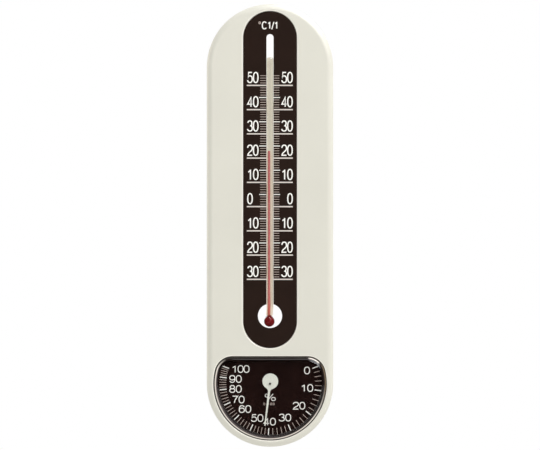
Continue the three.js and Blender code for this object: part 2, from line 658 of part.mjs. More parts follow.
function humidityDial() {
  return slab(windowOutline(-COVER_FLANGE_WIDTH), DIAL_BACK_HEIGHT, DIAL_FRONT_HEIGHT)
    .subtract(disc(0, DIAL_Z, BUSH_HOLE_RADIUS, DIAL_BACK_HEIGHT - OVERRUN, DIAL_FRONT_HEIGHT + OVERRUN));
}

// Carrier behind the dial: plate with two ears, cup, posts for the bridge and bosses for the cap.
function dialBackplate() {
  const edge = CASE_RADIUS - CASE_WALL - FIT_GAP - WINDOW_RADIUS;
  const ears = [-EAR_X, EAR_X].map((x) => slab(
    stadium(x, WINDOW_TOP_Z, EAR_Z, EAR_RADIUS, SMALL_ARC_STEPS),
    BACKPLATE_BACK_HEIGHT, BACKPLATE_FRONT_HEIGHT,
  ));
  const overlap = BACKPLATE_BACK_HEIGHT + BACKPLATE_THICKNESS / 2;
  const posts = [-POST_X, POST_X].map((x) => disc(x, DIAL_Z, POST_RADIUS, POST_BACK_HEIGHT, overlap));
  const capBosses = [-CAP_EAR_X, CAP_EAR_X].map((x) => (
    disc(x, DIAL_Z, CAP_BOSS_RADIUS, CAP_BOSS_BACK_HEIGHT, overlap)
  ));
  const cup = disc(0, DIAL_Z, CUP_OUTER_RADIUS, CUP_BACK_HEIGHT, overlap, 2 * ROUND_STEPS)
    .subtract(disc(
      0, DIAL_Z, CUP_INNER_RADIUS, CUP_BACK_HEIGHT - OVERRUN, BACKPLATE_BACK_HEIGHT, 2 * ROUND_STEPS,
    ));
  const plate = slab(windowOutline(-edge), BACKPLATE_BACK_HEIGHT, BACKPLATE_FRONT_HEIGHT);
  return join(plate, ...ears, cup, ...posts, ...capBosses).subtract(backplateHoles());
}

function backplateHoles() {
  const through = [BACKPLATE_BACK_HEIGHT - OVERRUN, BACKPLATE_FRONT_HEIGHT + OVERRUN];
  const screwHole = SCREW_RADIUS + SCREW_CLEARANCE;
  const smallHole = SMALL_SCREW_RADIUS + SCREW_CLEARANCE;
  return join(
    disc(0, DIAL_Z, BUSH_HOLE_RADIUS, ...through),
    ...[-EAR_X, EAR_X].map((x) => disc(x, EAR_Z, screwHole, ...through)),
    ...[-POST_X, POST_X].map((x) => disc(
      x, DIAL_Z, smallHole, POST_BACK_HEIGHT - OVERRUN,
      holeEnd(BRIDGE_BACK_HEIGHT, BRIDGE_SCREW_LENGTH), FINE_STEPS,
    )),
    ...[-CAP_EAR_X, CAP_EAR_X].map((x) => disc(
      x, DIAL_Z, smallHole, CAP_BOSS_BACK_HEIGHT - OVERRUN,
      holeEnd(CAP_EAR_HEIGHT, CAP_SCREW_LENGTH), FINE_STEPS,
    )),
  );
}

// A pan-head screw that points to the front, with a cross recess in its head.
function screw(x, z, seat, shankRadius, length, headRadius, headHeight) {
  const under = seat - SCREW_SEAT_GAP;
  const back = under - headHeight;
  const tip = under + length;
  const blank = turned(x, z, [
    [0, back],
    [headRadius - SCREW_CROWN, back],
    [headRadius, back + SCREW_CROWN],
    [headRadius, under],
    [shankRadius, under],
    [shankRadius, tip - SCREW_POINT],
    [shankRadius / 2, tip],
    [0, tip],
  ], FINE_STEPS);
  const reach = headRadius - SCREW_CROWN;
  const half = DRIVE_WIDTH / 2;
  const drive = join(
    slab(rectangle(x - reach, x + reach, z - half, z + half), back - OVERRUN, back + DRIVE_DEPTH),
    slab(rectangle(x - half, x + half, z - reach, z + reach), back - OVERRUN, back + DRIVE_DEPTH),
  );
  return solidOf(blank).subtract(drive);
}

function backplateScrew(x) {
  return screw(
    x, EAR_Z, BACKPLATE_BACK_HEIGHT, SCREW_RADIUS, BACKPLATE_SCREW_LENGTH,
    SCREW_HEAD_RADIUS, SCREW_HEAD_HEIGHT,
  );
}

function bridgeScrew(x) {
  return screw(
    x, DIAL_Z, BRIDGE_BACK_HEIGHT, SMALL_SCREW_RADIUS, BRIDGE_SCREW_LENGTH,
    SMALL_SCREW_HEAD_RADIUS, SMALL_SCREW_HEAD_HEIGHT,
  );
}

function capScrew(x) {
  return screw(
    x, DIAL_Z, CAP_EAR_HEIGHT, SMALL_SCREW_RADIUS, CAP_SCREW_LENGTH,
    SMALL_SCREW_HEAD_RADIUS, SMALL_SCREW_HEAD_HEIGHT,
  );
}

// Flanged bearing for the front of the arbor.
function frontBush() {
  const bore = ARBOR_RADIUS + RUNNING_CLEARANCE;
  const flangeBack = DIAL_FRONT_HEIGHT + BUSH_SEAT_GAP;
  const front = flangeBack + BUSH_FLANGE_THICKNESS;
  return turned(0, DIAL_Z, [
    [bore, BUSH_BACK_HEIGHT], [BUSH_BODY_RADIUS, BUSH_BACK_HEIGHT], [BUSH_BODY_RADIUS, flangeBack],
    [BUSH_FLANGE_RADIUS, flangeBack], [BUSH_FLANGE_RADIUS, front], [bore, front], [bore, BUSH_BACK_HEIGHT],
  ], ROUND_STEPS);
}

function handArbor() {
  const chamfered = ARBOR_RADIUS - ARBOR_CHAMFER;
  const back = REAR_FLANGE_BACK_HEIGHT + ARBOR_END_INSET;
  const front = HAND_HEIGHT + HAND_THICKNESS + ARBOR_PROUD;
  return turned(0, DIAL_Z, [
    [0, back],
    [chamfered, back],
    [ARBOR_RADIUS, back + ARBOR_CHAMFER],
    [ARBOR_RADIUS, front - ARBOR_CHAMFER],
    [chamfered, front],
    [0, front],
  ], ROUND_STEPS);
}

// One flat stamping: a disc set off from the pivot and a tapered pointer, drawn pointing straight down.
function handOutline() {
  const root = HAND_ROOT_WIDTH / 2;
  const tip = HAND_TIP_WIDTH / 2;
  const reach = HAND_DISC_RADIUS + HAND_FILLET_RADIUS;
  const side = root + HAND_FILLET_RADIUS;
  const filletZ = HAND_DISC_OFFSET - Math.sqrt(reach ** 2 - side ** 2);
  const touch = Math.atan2(filletZ - HAND_DISC_OFFSET, side);
  const body = arc(0, HAND_DISC_OFFSET, HAND_DISC_RADIUS, touch, Math.PI - touch, LARGE_ARC_STEPS);
  const right = arc(side, filletZ, HAND_FILLET_RADIUS, Math.PI, Math.PI + touch, CORNER_STEPS);
  const left = arc(-side, filletZ, HAND_FILLET_RADIUS, -touch, 0, CORNER_STEPS);
  return [
    ...body,
    ...left.slice(1),
    new THREE.Vector2(-tip, -HAND_REACH),
    new THREE.Vector2(tip, -HAND_REACH),
    ...right.slice(0, -1),
  ];
}

function humidityHand() {
  const low = HAND_HEIGHT;
  const high = HAND_HEIGHT + HAND_THICKNESS;
  const hub = disc(0, 0, HAND_HUB_RADIUS, low - HAND_HUB_LENGTH, low + HAND_THICKNESS / 2);
  const bore = ARBOR_RADIUS + RUNNING_CLEARANCE;
  const hole = disc(0, 0, bore, low - HAND_HUB_LENGTH - OVERRUN, high + OVERRUN);
  return join(slab(handOutline(), low, high), hub)
    .subtract(hole)
    .rotate([0, HAND_REST_DEG, 0])
    .translate([0, 0, DIAL_Z]);
}

// Strip across the cup that carries the rear bearing.
function movementBridge() {
  const half = BRIDGE_WIDTH / 2;
  const end = POST_X + BRIDGE_END_MARGIN - half;
  const outline = [
    ...arc(end, DIAL_Z, half, -Math.PI / 2, Math.PI / 2, SMALL_ARC_STEPS),
    ...arc(-end, DIAL_Z, half, Math.PI / 2, 3 * Math.PI / 2, SMALL_ARC_STEPS),
  ];
  const through = [BRIDGE_BACK_HEIGHT - OVERRUN, BRIDGE_FRONT_HEIGHT + OVERRUN];
  return slab(outline, BRIDGE_BACK_HEIGHT, BRIDGE_FRONT_HEIGHT)
    .subtract(disc(0, DIAL_Z, REAR_BODY_RADIUS + RING_CLEARANCE, ...through))
    .subtract(disc(-POST_X, DIAL_Z, SMALL_SCREW_RADIUS + SCREW_CLEARANCE, ...through, FINE_STEPS))
    .subtract(disc(POST_X, DIAL_Z, SMALL_SCREW_RADIUS + SCREW_CLEARANCE, ...through, FINE_STEPS));
}

// Rear bearing: its flange keeps the regulator's ring against the bridge.
function rearBush() {
  const bore = ARBOR_RADIUS + RUNNING_CLEARANCE;
  const back = REAR_FLANGE_BACK_HEIGHT;
  return turned(0, DIAL_Z, [
    [bore, back], [REAR_FLANGE_RADIUS, back], [REAR_FLANGE_RADIUS, REAR_FLANGE_FRONT_HEIGHT],
    [REAR_BODY_RADIUS, REAR_FLANGE_FRONT_HEIGHT], [REAR_BODY_RADIUS, BRIDGE_FRONT_HEIGHT],
    [bore, BRIDGE_FRONT_HEIGHT], [bore, back],
  ], ROUND_STEPS);
}

// Calibrating lever: a ring round the rear bush and an arm that points up.
function regulatorArm() {
  const inner = REAR_BODY_RADIUS + RING_CLEARANCE;
  const outer = inner + RING_WIDTH;
  const armTop = DIAL_Z + STUD_ORBIT;
  const half = ARM_WIDTH / 2;
  const through = [RING_BACK_HEIGHT - OVERRUN, RING_FRONT_HEIGHT + OVERRUN];
  return join(
    disc(0, DIAL_Z, outer, RING_BACK_HEIGHT, RING_FRONT_HEIGHT),
    slab(rectangle(-half, half, DIAL_Z, armTop), RING_BACK_HEIGHT, RING_FRONT_HEIGHT),
    disc(0, armTop, ARM_END_RADIUS, RING_BACK_HEIGHT, RING_FRONT_HEIGHT),
  )
    .subtract(disc(0, DIAL_Z, inner, ...through))
    .subtract(disc(0, armTop, STUD_RADIUS + STUD_CLEARANCE, ...through, FINE_STEPS));
}

// Pin through the lever: its front holds the coil's outer end, its back stands out of the cap's slot.
function coilStud() {
  const back = CAP_BACK_HEIGHT - STUD_PROUD;
  const profile = [[0, back], [STUD_RADIUS, back], [STUD_RADIUS, COIL_FRONT_HEIGHT], [0, COIL_FRONT_HEIGHT]];
  return turned(0, DIAL_Z + STUD_ORBIT, profile, FINE_STEPS);
}

// Collar that ties the coil's inner end to the arbor.
function coilCollet() {
  const inner = ARBOR_RADIUS + RUNNING_CLEARANCE;
  const back = COIL_BACK_HEIGHT - COLLET_OVERHANG;
  const front = COLLET_FRONT_HEIGHT;
  return turned(0, DIAL_Z, [
    [inner, back], [COLLET_RADIUS, back], [COLLET_RADIUS, front], [inner, front], [inner, back],
  ], ROUND_STEPS);
}

// Spiral strip from the collet to the stud: its outer end lies under the stud, straight above the arbor.
function humidityCoil() {
  const half = COIL_STRIP_THICKNESS / 2;
  const inner = COLLET_RADIUS + COIL_GAP + half;
  const outer = STUD_ORBIT - STUD_RADIUS - COIL_GAP - half;
  const steps = Math.round(COIL_TURNS * COIL_STEPS_PER_TURN);
  const side = (offset) => {
    const points = [];
    for (let i = 0; i <= steps; i += 1) {
      const share = i / steps;
      const angle = Math.PI / 2 - (1 - share) * COIL_TURNS * 2 * Math.PI;
      const radius = inner + (outer - inner) * share + offset;
      points.push(new THREE.Vector2(radius * Math.cos(angle), DIAL_Z + radius * Math.sin(angle)));
    }
    return points;
  };
  const outline = [...side(half), ...side(-half).reverse()];
  return slabGeometry(outline, COIL_BACK_HEIGHT, COIL_FRONT_HEIGHT);
}

// A slot that follows an arc about the dial's axis, centred straight above it.
function regulatorSlot(low, high) {
  const half = STUD_RADIUS + REGULATOR_SLOT_CLEARANCE;
  const spread = THREE.MathUtils.degToRad(REGULATOR_SWING_DEG) + half / STUD_ORBIT;
  const from = Math.PI / 2 - spread;
  const to = Math.PI / 2 + spread;
  const outline = [
    ...arc(0, DIAL_Z, STUD_ORBIT + half, from, to, SMALL_ARC_STEPS),
    ...arc(0, DIAL_Z, STUD_ORBIT - half, to, from, SMALL_ARC_STEPS),
  ];
  return slab(outline, low, high);
}

// Cap over the cup, with radial vents, the regulator's slot and two ears.
function movementCap() {
  const skirtFront = CAP_BACK_HEIGHT + CAP_SKIRT_DEPTH;
  const earBack = CAP_EAR_HEIGHT;
  const earFront = CAP_EAR_HEIGHT + CAP_EAR_THICKNESS;
  const steps = 2 * ROUND_STEPS;
  const cuts = [regulatorSlot(CAP_BACK_HEIGHT - OVERRUN, CAP_FRONT_HEIGHT + OVERRUN)];
  const vent = stadium(
    0, VENT_INNER_RADIUS, CUP_INNER_RADIUS - VENT_CUP_MARGIN, VENT_WIDTH / 2, CORNER_STEPS,
  );
  for (let i = 1; i < VENT_COUNT; i += 1) {
    cuts.push(slab(vent, CAP_BACK_HEIGHT - OVERRUN, CAP_FRONT_HEIGHT + OVERRUN)
      .rotate([0, i * 360 / VENT_COUNT, 0])
      .translate([0, 0, DIAL_Z]));
  }
  const ears = [-CAP_EAR_X, CAP_EAR_X].map((x) => join(
    disc(x, DIAL_Z, CAP_EAR_RADIUS, earBack, earFront),
    slab(rectangle(
      Math.min(x, 0), Math.max(x, 0), DIAL_Z - CAP_EAR_RADIUS, DIAL_Z + CAP_EAR_RADIUS,
    ), earBack, earFront),
  ));
  const hollow = disc(0, DIAL_Z, CAP_SKIRT_INNER_RADIUS, CAP_FRONT_HEIGHT, skirtFront + OVERRUN, steps);
  const earHoles = [-CAP_EAR_X, CAP_EAR_X].map((x) => disc(
    x, DIAL_Z, SMALL_SCREW_RADIUS + SCREW_CLEARANCE, earBack - OVERRUN, earFront + OVERRUN, FINE_STEPS,
  ));
  return join(disc(0, DIAL_Z, CAP_OUTER_RADIUS, CAP_BACK_HEIGHT, skirtFront, steps), ...ears)
    .subtract(join(hollow, ...cuts, ...earHoles));
}

const finish = (color, roughness, metalness = 0, extra = {}) => (
  new THREE.MeshStandardMaterial({ color, roughness, metalness, ...extra })
);
const IVORY = finish(0xe2dfd5, 0.45);
const DARK_BROWN = finish(0x261a15, 0.4);
const GLASS = finish(0xe8ece6, 0.08, 0, { transparent: true, opacity: 0.35 });
const ENAMEL = finish(0xe9dcc4, 0.35);
const SPIRIT = finish(0xa0282e, 0.25);
const CLEAR = finish(0xf4f6f6, 0.06, 0, { transparent: true, opacity: 0.25 });
const CREAM = finish(0xe4e6da, 0.5);
const STEEL = finish(0x8f8f8c, 0.35, 0.9);
const BRASS = finish(0xb89a56, 0.35, 0.9);
const SENSOR = finish(0xb98b5c, 0.55, 0.2);
const WHITE_PLASTIC = finish(0xd8d8d2, 0.5);

// Everything hangs from the keyhole seat, so the object's centre lies below the origin.
const thermoHygrometer = new THREE.Group();
thermoHygrometer.name = 'thermo_hygrometer';
const hung = new THREE.Group();
hung.position.z = -KEYHOLE_SEAT_Z;
thermoHygrometer.add(hung);

function place(name, shape, material) {
  const geometry = shape instanceof THREE.BufferGeometry ? shape : geometryOf(shape);
  const mesh = new THREE.Mesh(geometry, material);
  mesh.name = name;
  hung.add(mesh);
  return mesh;
}

place('case_shell', caseShell(), IVORY);
place('back_frame', backFrame(), IVORY);
place('hanger_plate', hangerPlate(), STEEL);
place('scale_plate', scalePlate(), DARK_BROWN);
place('thermometer_tube', thermometerTube(), GLASS);
place('enamel_strip', enamelStrip(), ENAMEL);
place('spirit_column', spiritColumn(), SPIRIT);
place('bulb_spirit', bulbSpirit(), SPIRIT);
place('tube_clip_upper', tubeClip(), WHITE_PLASTIC).position.z = CLIP_MIDDLE_Z + RIB_PITCH;
place('tube_clip_middle', tubeClip(), WHITE_PLASTIC).position.z = CLIP_MIDDLE_Z;
place('tube_clip_lower', tubeClip(), WHITE_PLASTIC).position.z = CLIP_MIDDLE_Z - RIB_PITCH;
place('window_cover', windowCover(), CLEAR);
place('humidity_dial', humidityDial(), DARK_BROWN);
place('dial_backplate', dialBackplate(), WHITE_PLASTIC);
place('backplate_screw_left', backplateScrew(-EAR_X), STEEL);
place('backplate_screw_right', backplateScrew(EAR_X), STEEL);
place('front_bush', frontBush(), BRASS);
place('hand_arbor', handArbor(), STEEL);
place('humidity_hand', humidityHand(), CREAM);
place('movement_bridge', movementBridge(), BRASS);
place('bridge_screw_left', bridgeScrew(-POST_X), STEEL);
place('bridge_screw_right', bridgeScrew(POST_X), STEEL);
place('rear_bush', rearBush(), BRASS);
place('regulator_arm', regulatorArm(), BRASS);
place('coil_stud', coilStud(), STEEL);
place('coil_collet', coilCollet(), BRASS);
place('humidity_coil', humidityCoil(), SENSOR);
place('movement_cap', movementCap(), WHITE_PLASTIC);
place('cap_screw_left', capScrew(-CAP_EAR_X), STEEL);
place('cap_screw_right', capScrew(CAP_EAR_X), STEEL);

export default thermoHygrometer;
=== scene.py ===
"""Looks of the wall-hung thermo-hygrometer, dressed over its solids.

Lengths are in millimetres about the middle of the case, and place() turns them into the frame's metres.
A height is a distance in front of the wall.
"""
import math

import bmesh
import bpy
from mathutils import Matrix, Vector


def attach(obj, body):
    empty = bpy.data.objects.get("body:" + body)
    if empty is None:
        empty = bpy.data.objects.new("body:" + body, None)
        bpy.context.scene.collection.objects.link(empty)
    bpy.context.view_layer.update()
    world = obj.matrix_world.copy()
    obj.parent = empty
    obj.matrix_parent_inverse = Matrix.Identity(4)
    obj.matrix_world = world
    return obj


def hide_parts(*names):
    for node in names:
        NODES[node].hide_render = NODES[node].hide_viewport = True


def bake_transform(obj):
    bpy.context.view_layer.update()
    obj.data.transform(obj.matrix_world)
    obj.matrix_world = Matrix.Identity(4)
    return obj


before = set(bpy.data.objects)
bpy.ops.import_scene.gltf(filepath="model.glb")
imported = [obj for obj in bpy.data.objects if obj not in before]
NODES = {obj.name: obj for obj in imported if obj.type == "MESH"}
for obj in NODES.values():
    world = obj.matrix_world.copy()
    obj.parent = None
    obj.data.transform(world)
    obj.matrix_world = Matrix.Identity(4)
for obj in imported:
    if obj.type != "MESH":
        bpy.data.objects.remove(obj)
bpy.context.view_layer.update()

MM = 0.001
HANG = 132.5

# Case
CASE_ARC_Z = 100
CASE_RADIUS = 40
CASE_DEPTH = 15
CASE_WALL = 2
FACE_BACK = 12.8
EDGE_RADIUS = 4
OPENING_EDGE = 0.7
PARTING = 9.8
PARTING_BEVEL = 0.12
GROOVE_FRONT = 11.15
GROOVE_OUTER_INSET = 0.95
GROOVE_INNER_INSET = 2.15
FACE_OVERLAP = 0.5
STAGGER = 0.1
RIB_COUNT = 4
RIB_LOWEST_Z = -54.665
RIB_HIGHEST_Z = 100.365
RIB_REACH = 39
RIB_HALF_THICKNESS = 0.7
RIM_REACH = 2.8
RIM_POCKET_REACH = 1.4
BOSS_X = 31
BOSS_Z = -75.5
BOSS_RADIUS = 2.8
PILOT_RADIUS = 1.1
PILOT_FRONT = 13.8
TOOL_OVERRUN = 1
LIP_FACING = (0.02, 0.995)
LIP_MARGIN = 0.2

# Scale plate, slot and bulb hole
PLATE_RADIUS = 16.8
PLATE_TOP_ARC_Z = 118.4
BULB_Z = -60.5
RECESS_FLOOR = 13.9
RECESS_CLEARANCE = 0.2
PLATE_BACK = 14
PLATE_FRONT = 14.8
SLOT_RADIUS = 2.24
SLOT_TOP_ARC_Z = 118.63
HOLE_RADIUS = 7.65
HOLE_Z = -57.1
HOLE_STEP = 0.3
COLLAR = 1.2
COLLAR_BACK = 8.6
PLATE_BEVEL = 0.12

# Window, cover and dial
DIAL_Z = -100
WINDOW_RADIUS = 35.8
WINDOW_RISE = 17.4
WINDOW_CORNER = 11.4
FRAME_BACK = 10.4
FLANGE_REACH = 1.1
FLANGE_BACK = 11.3
FLANGE_FRONT = 12.5
COVER_FRONT = 17.5
COVER_GAP = 0.36
COVER_WALL = 1.5
COVER_EDGE = 3.6
COVER_MARGIN = 0.1
COVER_TOLERANCE = 0.01
COVER_FLAT_FACING = 0.9995
DIAL_BACK = 10.4
DIAL_FRONT = 11
DIAL_BEVEL = 0.1
DIAL_HOLE_RADIUS = 1.95

# Thermometer
TUBE_HEIGHT = 13.6
TUBE_RADIUS = 2.14
TUBE_TOP = 106.2
TIP_LENGTH = 3
# Ends of the glass and of its bore, as pairs of a radius and a distance below the tube's top
TIP_OUTSIDE = ((2.13, 1.6), (2.08, 1.0), (1.93, 0.55), (1.66, 0.25), (1.2, 0.08), (0.6, 0.02), (0, 0))
TIP_INSIDE = ((0, 2.2), (0.5, 2.5), (0.9, 3.2), (0.95, 4), (0.95, 7.6), (0.8, 8.3))
BORE_TOP_DROP = 9.2
BORE_RADIUS = 0.76
BORE_X = -0.42
BORE_DRIFT = 4
BORE_LEAN_SHARE = 0.5
COLUMN_RADIUS = 0.33
GLOW_RADIUS = 0.66
# Heights between which the spirit's painted glow turns browner and hides more
GLOW_FADE = (-38, -53)
ENAMEL_RISE = 3.6
ENAMEL_DROP = 0.1
ENAMEL_FLAT = 1.05
ENAMEL_RADIUS = 2.08
BULB_RADIUS = 3.36
BULB_WALL = 0.12
BULB_SHIFT = -0.42
BALL_Z = BULB_Z - 0.1
THIN_GLASS_TOP = BALL_Z + 3.4
LEAN_TOP = -50.5
LEAN_LENGTH = 8
NECK_BLEND_ANGLE = 0.18
NECK_RISE = 0.8
# Pairs of a distance outside the tube and a rise over the place where the tube meets the bulb
NECK_FILLET = ((0.18, -0.1), (0.06, 0.25), (0, NECK_RISE))
SPIRIT_BALL = 3.22
SPIRIT_SHOULDER = math.radians(44)
# Pairs of a radius and a rise over the bulb's middle
SPIRIT_TIP = ((2.02, 2.55), (1.68, 2.85), (1.36, 3.15), (1.05, 3.45), (0.75, 3.75), (0.4, 4.1), (0, 4.4))
COLUMN_START = 0.7
# Ends of the column, as pairs of a share of its radius and a distance from its end
COLUMN_FOOT_SHARES = ((0, 0), (0.7, 0.1), (1, 0.4))
MENISCUS_SHARES = ((1, 0.5), (0.86, 0.22), (0.5, 0.06), (0, 0))

# Scale, where DEGREE is the length of one degree
LOWEST_LINE_Z = -34
DEGREE = 1.530625
LOWEST_DEGREE = -30
HIGHEST_DEGREE = 54
READING = 23
READING_Z = LOWEST_LINE_Z + (READING - LOWEST_DEGREE) * DEGREE

# Hand, turned from straight down to its place at rest
HAND_LOW = 13.3
HAND_HIGH = 13.7
HAND_TURN = math.radians(6.9)
HAND_DISC_RADIUS = 5.0
HAND_DISC_RISE = 1.55
HAND_FILLET = 2.4
HAND_ROOT = 0.68
HAND_TIP = 0.4
HAND_LENGTH = 26.8
HAND_BACK_BEVEL = (0.05, 0.06)
HAND_BEVEL = 0.1
HUB_RADIUS = 1.25
HUB_LENGTH = 1
HUB_OVERLAP = 0.2
ARBOR_HOLE_RADIUS = 0.7
POINTER_FROM = 7

# Print
INK_THICKNESS = 0.03
INK_SINK = 0.01
# Steps in height that keep crossing strokes apart
INK_STEP = 0.002
INK_STEPS = 7
LEAST_MITRE = 0.45
OVAL_POWER = 2.35

# Lines and numbers of the scale

# Ends of a line on the left and on the right of the tube
LINE_ENDS = ((-14.65, -2.32), (2.26, 14.39))
LINE_WIDTH = 0.78
HALF_ENDS = ((-6.82, -2.32), (2.26, 6.35))
HALF_WIDTH = 0.55
DEGREE_ENDS = ((-6.2, -2.32), (2.26, 5.85))
DEGREE_WIDTH = 0.31
LEFT_DIGITS_X = -14.45
# By how many digits the number has
RIGHT_DIGITS_X = {2: 7.15, 1: 10.82}
DIGITS_RISE = 1.42
SCALE_DIGIT = {"width": 3.62, "height": 7.15, "weight": 0.78, "gap": 0.02}

# Characters set alone: left and lower edge of their ink, width, height and weight, and a word's gap
HEADING = (
    ("C", -5.2, 123.8, 3.4, 5.1, 0.7), ("|", -1.45, 124, 1.65, 4.9, 0.7),
    ("/", 0.8, 123.8, 1.95, 4.8, 0.6), ("|", 2.95, 124, 1.65, 4.9, 0.7),
)
DEGREE_SIGN = ("°", -7.25, 123.9, 1.5, 4.9, 0.45)
PERCENT_SIGN = ("%", -3.3, -110.95, 6.9, 4.6, 0.48)
RANGE_WORD = ("0-100", -4.2, -113.7, 1.15, 1.6, 0.26, 0.45)

# Print on the dial

# Angles of the tens from 0 to 100, counted to the right from straight down
DECADES = (110.2, 82.1, 52.2, 23.2, -2.6, -23.8, -45.4, -65.3, -83.1, -97.6, -110.2)
RING_X = 0.45
RING_Z = -100.1
TICK_RADII = (28.1, 32.5)
TICK_WIDTH = 0.35
DECADE_WIDTH = 0.66
# Places of the numbers, about their middles
DIAL_NUMBERS = {
    "100": (-18.6, -90.7), "90": (-21.8, -97.0), "80": (-21.8, -103.3), "70": (-20.0, -110.0),
    "60": (-15.8, -116.0), "50": (-8.1, -121.7), "40": (-0.2, -124.0), "30": (9.5, -121.4),
    "20": (18.4, -113.9), "10": (23.4, -102.7), "0": (23.4, -91.6),
}
DIAL_DIGIT = {"width": 3.75, "height": 4.85, "weight": 0.57}
DIAL_DIGIT_DROP = 2.5
# By how many digits the number has
DIAL_DIGIT_GAPS = {1: 0.3, 2: 0.3, 3: 0}

# Studio: places in metres and powers in watts, but the camera in millimetres
FLOOR_Z = -0.75
FLOOR_SIZE = 13
LAMP_SIZE = 0.5
LAMPS = {"key": ((1.12, -0.62, 0.84), 8.6), "top": ((0.15, -0.5, 1.2), 3)}
SENSOR_WIDTH = 36
PICTURE_WIDTH = 340.9
CAMERA_DISTANCE = 2000
CAMERA_Z = 0.3

# Surround
AMBIENT = 0.802
# The room's greys from the front to the back, as seen in clear and glossy faces
ROOM_GREYS = ((0, 0), (0.12, 0.02), (0.25, 0.12), (0.42, 0.4), (0.62, 0.75), (0.75, 1))
# Soft lights in it: direction, nearness to it at which the light starts and is full, and colour
SOFT_BOXES = (
    ((0.47, -0.63, 0.62), 0.9, 0.965, (8.0, 8.3, 8.6)),
    ((0.47, -0.26, 0.84), 0.9, 0.965, (5.0, 5.2, 5.4)),
    ((0.47, 0.26, 0.84), 0.9, 0.965, (8.0, 8.2, 8.4)),
    ((-0.95, 0.31, 0.05), 0.9, 0.97, (2.5, 2.1, 1.5)),
)


def place(x, height, z):
    """A point of the frame, in metres."""
    return Vector((x * MM, -height * MM, (z - HANG) * MM))


# Outlines

def arc(x, z, radius, start, end, steps):
    """Points (x, z) of an arc, angles in radians."""
    step = (end - start) / steps
    return [
        (x + radius * math.cos(start + step * i), z + radius * math.sin(start + step * i))
        for i in range(steps + 1)
    ]


def circle(x, z, radius, steps):
    return arc(x, z, radius, 0, 2 * math.pi, steps)[:-1]


def stadium(low, high, radius, steps=56):
    """A straight-sided outline with round ends about the heights low and high."""
    return arc(0, high, radius, 0, math.pi, steps) + arc(0, low, radius, math.pi, 2 * math.pi, steps)


def window(inset):
    """The D-shaped window outline, moved inwards by inset."""
    steps, corner_steps = 84, 14
    rise = WINDOW_RISE - WINDOW_CORNER
    reach = WINDOW_RADIUS - WINDOW_CORNER
    corner_x = math.sqrt(reach ** 2 - rise ** 2)
    tangent = math.atan2(rise, corner_x)
    corner = WINDOW_CORNER - inset
    right = arc(corner_x, DIAL_Z + rise, corner, tangent, math.pi / 2, corner_steps)
    left = arc(-corner_x, DIAL_Z + rise, corner, math.pi / 2, math.pi - tangent, corner_steps)
    big = arc(0, DIAL_Z, WINDOW_RADIUS - inset, math.pi - tangent, 2 * math.pi + tangent, steps)
    return big + right[1:] + left[:-1]


def case_outline(inset):
    return stadium(-CASE_ARC_Z, CASE_ARC_Z, CASE_RADIUS - inset, 72)


def plate_outline(inset):
    return stadium(BULB_Z, PLATE_TOP_ARC_Z, PLATE_RADIUS - inset)


# Bodies

def to_object(name, bm):
    mesh = bpy.data.meshes.new(name)
    bm.to_mesh(mesh)
    bm.free()
    obj = bpy.data.objects.new(name, mesh)
    bpy.context.scene.collection.objects.link(obj)
    return obj


def skinned(name, loops):
    """A closed body through loops of equally many points of the frame."""
    bm = bmesh.new()
    loops = [[bm.verts.new(point) for point in points] for points in loops]
    count = len(loops[0])
    for low, high in zip(loops, loops[1:]):
        for i in range(count):
            j = (i + 1) % count
            bm.faces.new((low[i], low[j], high[j], high[i]))
    bm.faces.new(loops[0][::-1])
    bm.faces.new(loops[-1])
    bmesh.ops.recalc_face_normals(bm, faces=bm.faces)
    return to_object(name, bm)


def loft(name, rings):
    """A closed body through outlines of equal length, each given with its height."""
    return skinned(name, [[place(x, height, z) for x, z in points] for points, height in rings])


def edge_rings(outline, high, radius, steps, side=1):
    """Rings of a rounded edge below the height high. Side 1 draws in, side -1 spreads out."""
    rings = []
    for i in range(steps + 1):
        angle = math.pi / 2 * i / steps
        inset = side * radius * (1 - math.cos(angle))
        rings.append((outline(inset), high - radius + radius * math.sin(angle)))
    return rings


def opening(name, outline, low):
    """A cutting tool that leaves a rounded edge on the case's face."""
    over = 0.02
    rings = [(outline(0), low)] + edge_rings(outline, CASE_DEPTH, OPENING_EDGE, 5, -1)
    rings.append((outline(-OPENING_EDGE - over), CASE_DEPTH + over))
    rings.append((outline(-OPENING_EDGE - over), CASE_DEPTH + TOOL_OVERRUN))
    return loft(name, rings)


def bake(obj):
    """Applies the modifiers."""
    graph = bpy.context.evaluated_depsgraph_get()
    mesh = bpy.data.meshes.new_from_object(obj.evaluated_get(graph))
    old = obj.data
    obj.modifiers.clear()
    obj.data = mesh
    bpy.data.meshes.remove(old)


def combine(target, operation, *tools):
    """Joins tools to target, or cuts them out of it, one after the other."""
    for tool in tools:
        modifier = target.modifiers.new("combine", "BOOLEAN")
        modifier.operation = operation
        modifier.solver = "EXACT"
        modifier.object = tool
        bake(target)
        mesh = tool.data
        bpy.data.objects.remove(tool)
        bpy.data.meshes.remove(mesh)
    return target


def slab(name, points, low, high):
    return loft(name, [(points, low), (points, high)])


def turned(profile, steps, at):
    """A turned mesh. The profile lists (radius, along), and at(radius, angle, along) places a point."""
    bm = bmesh.new()
    rows = []
    for radius, along in profile:
        if radius == 0:
            rows.append([bm.verts.new(at(0, 0, along))] * steps)
        else:
            rows.append([bm.verts.new(at(radius, 2 * math.pi * i / steps, along)) for i in range(steps)])
    for low, high in zip(rows, rows[1:]):
        for i in range(steps):
            j = (i + 1) % steps
            corners = []
            for vertex in (low[i], low[j], high[j], high[i]):
                if vertex not in corners:
                    corners.append(vertex)
            if len(corners) > 2:
                bm.faces.new(corners)
    return bm


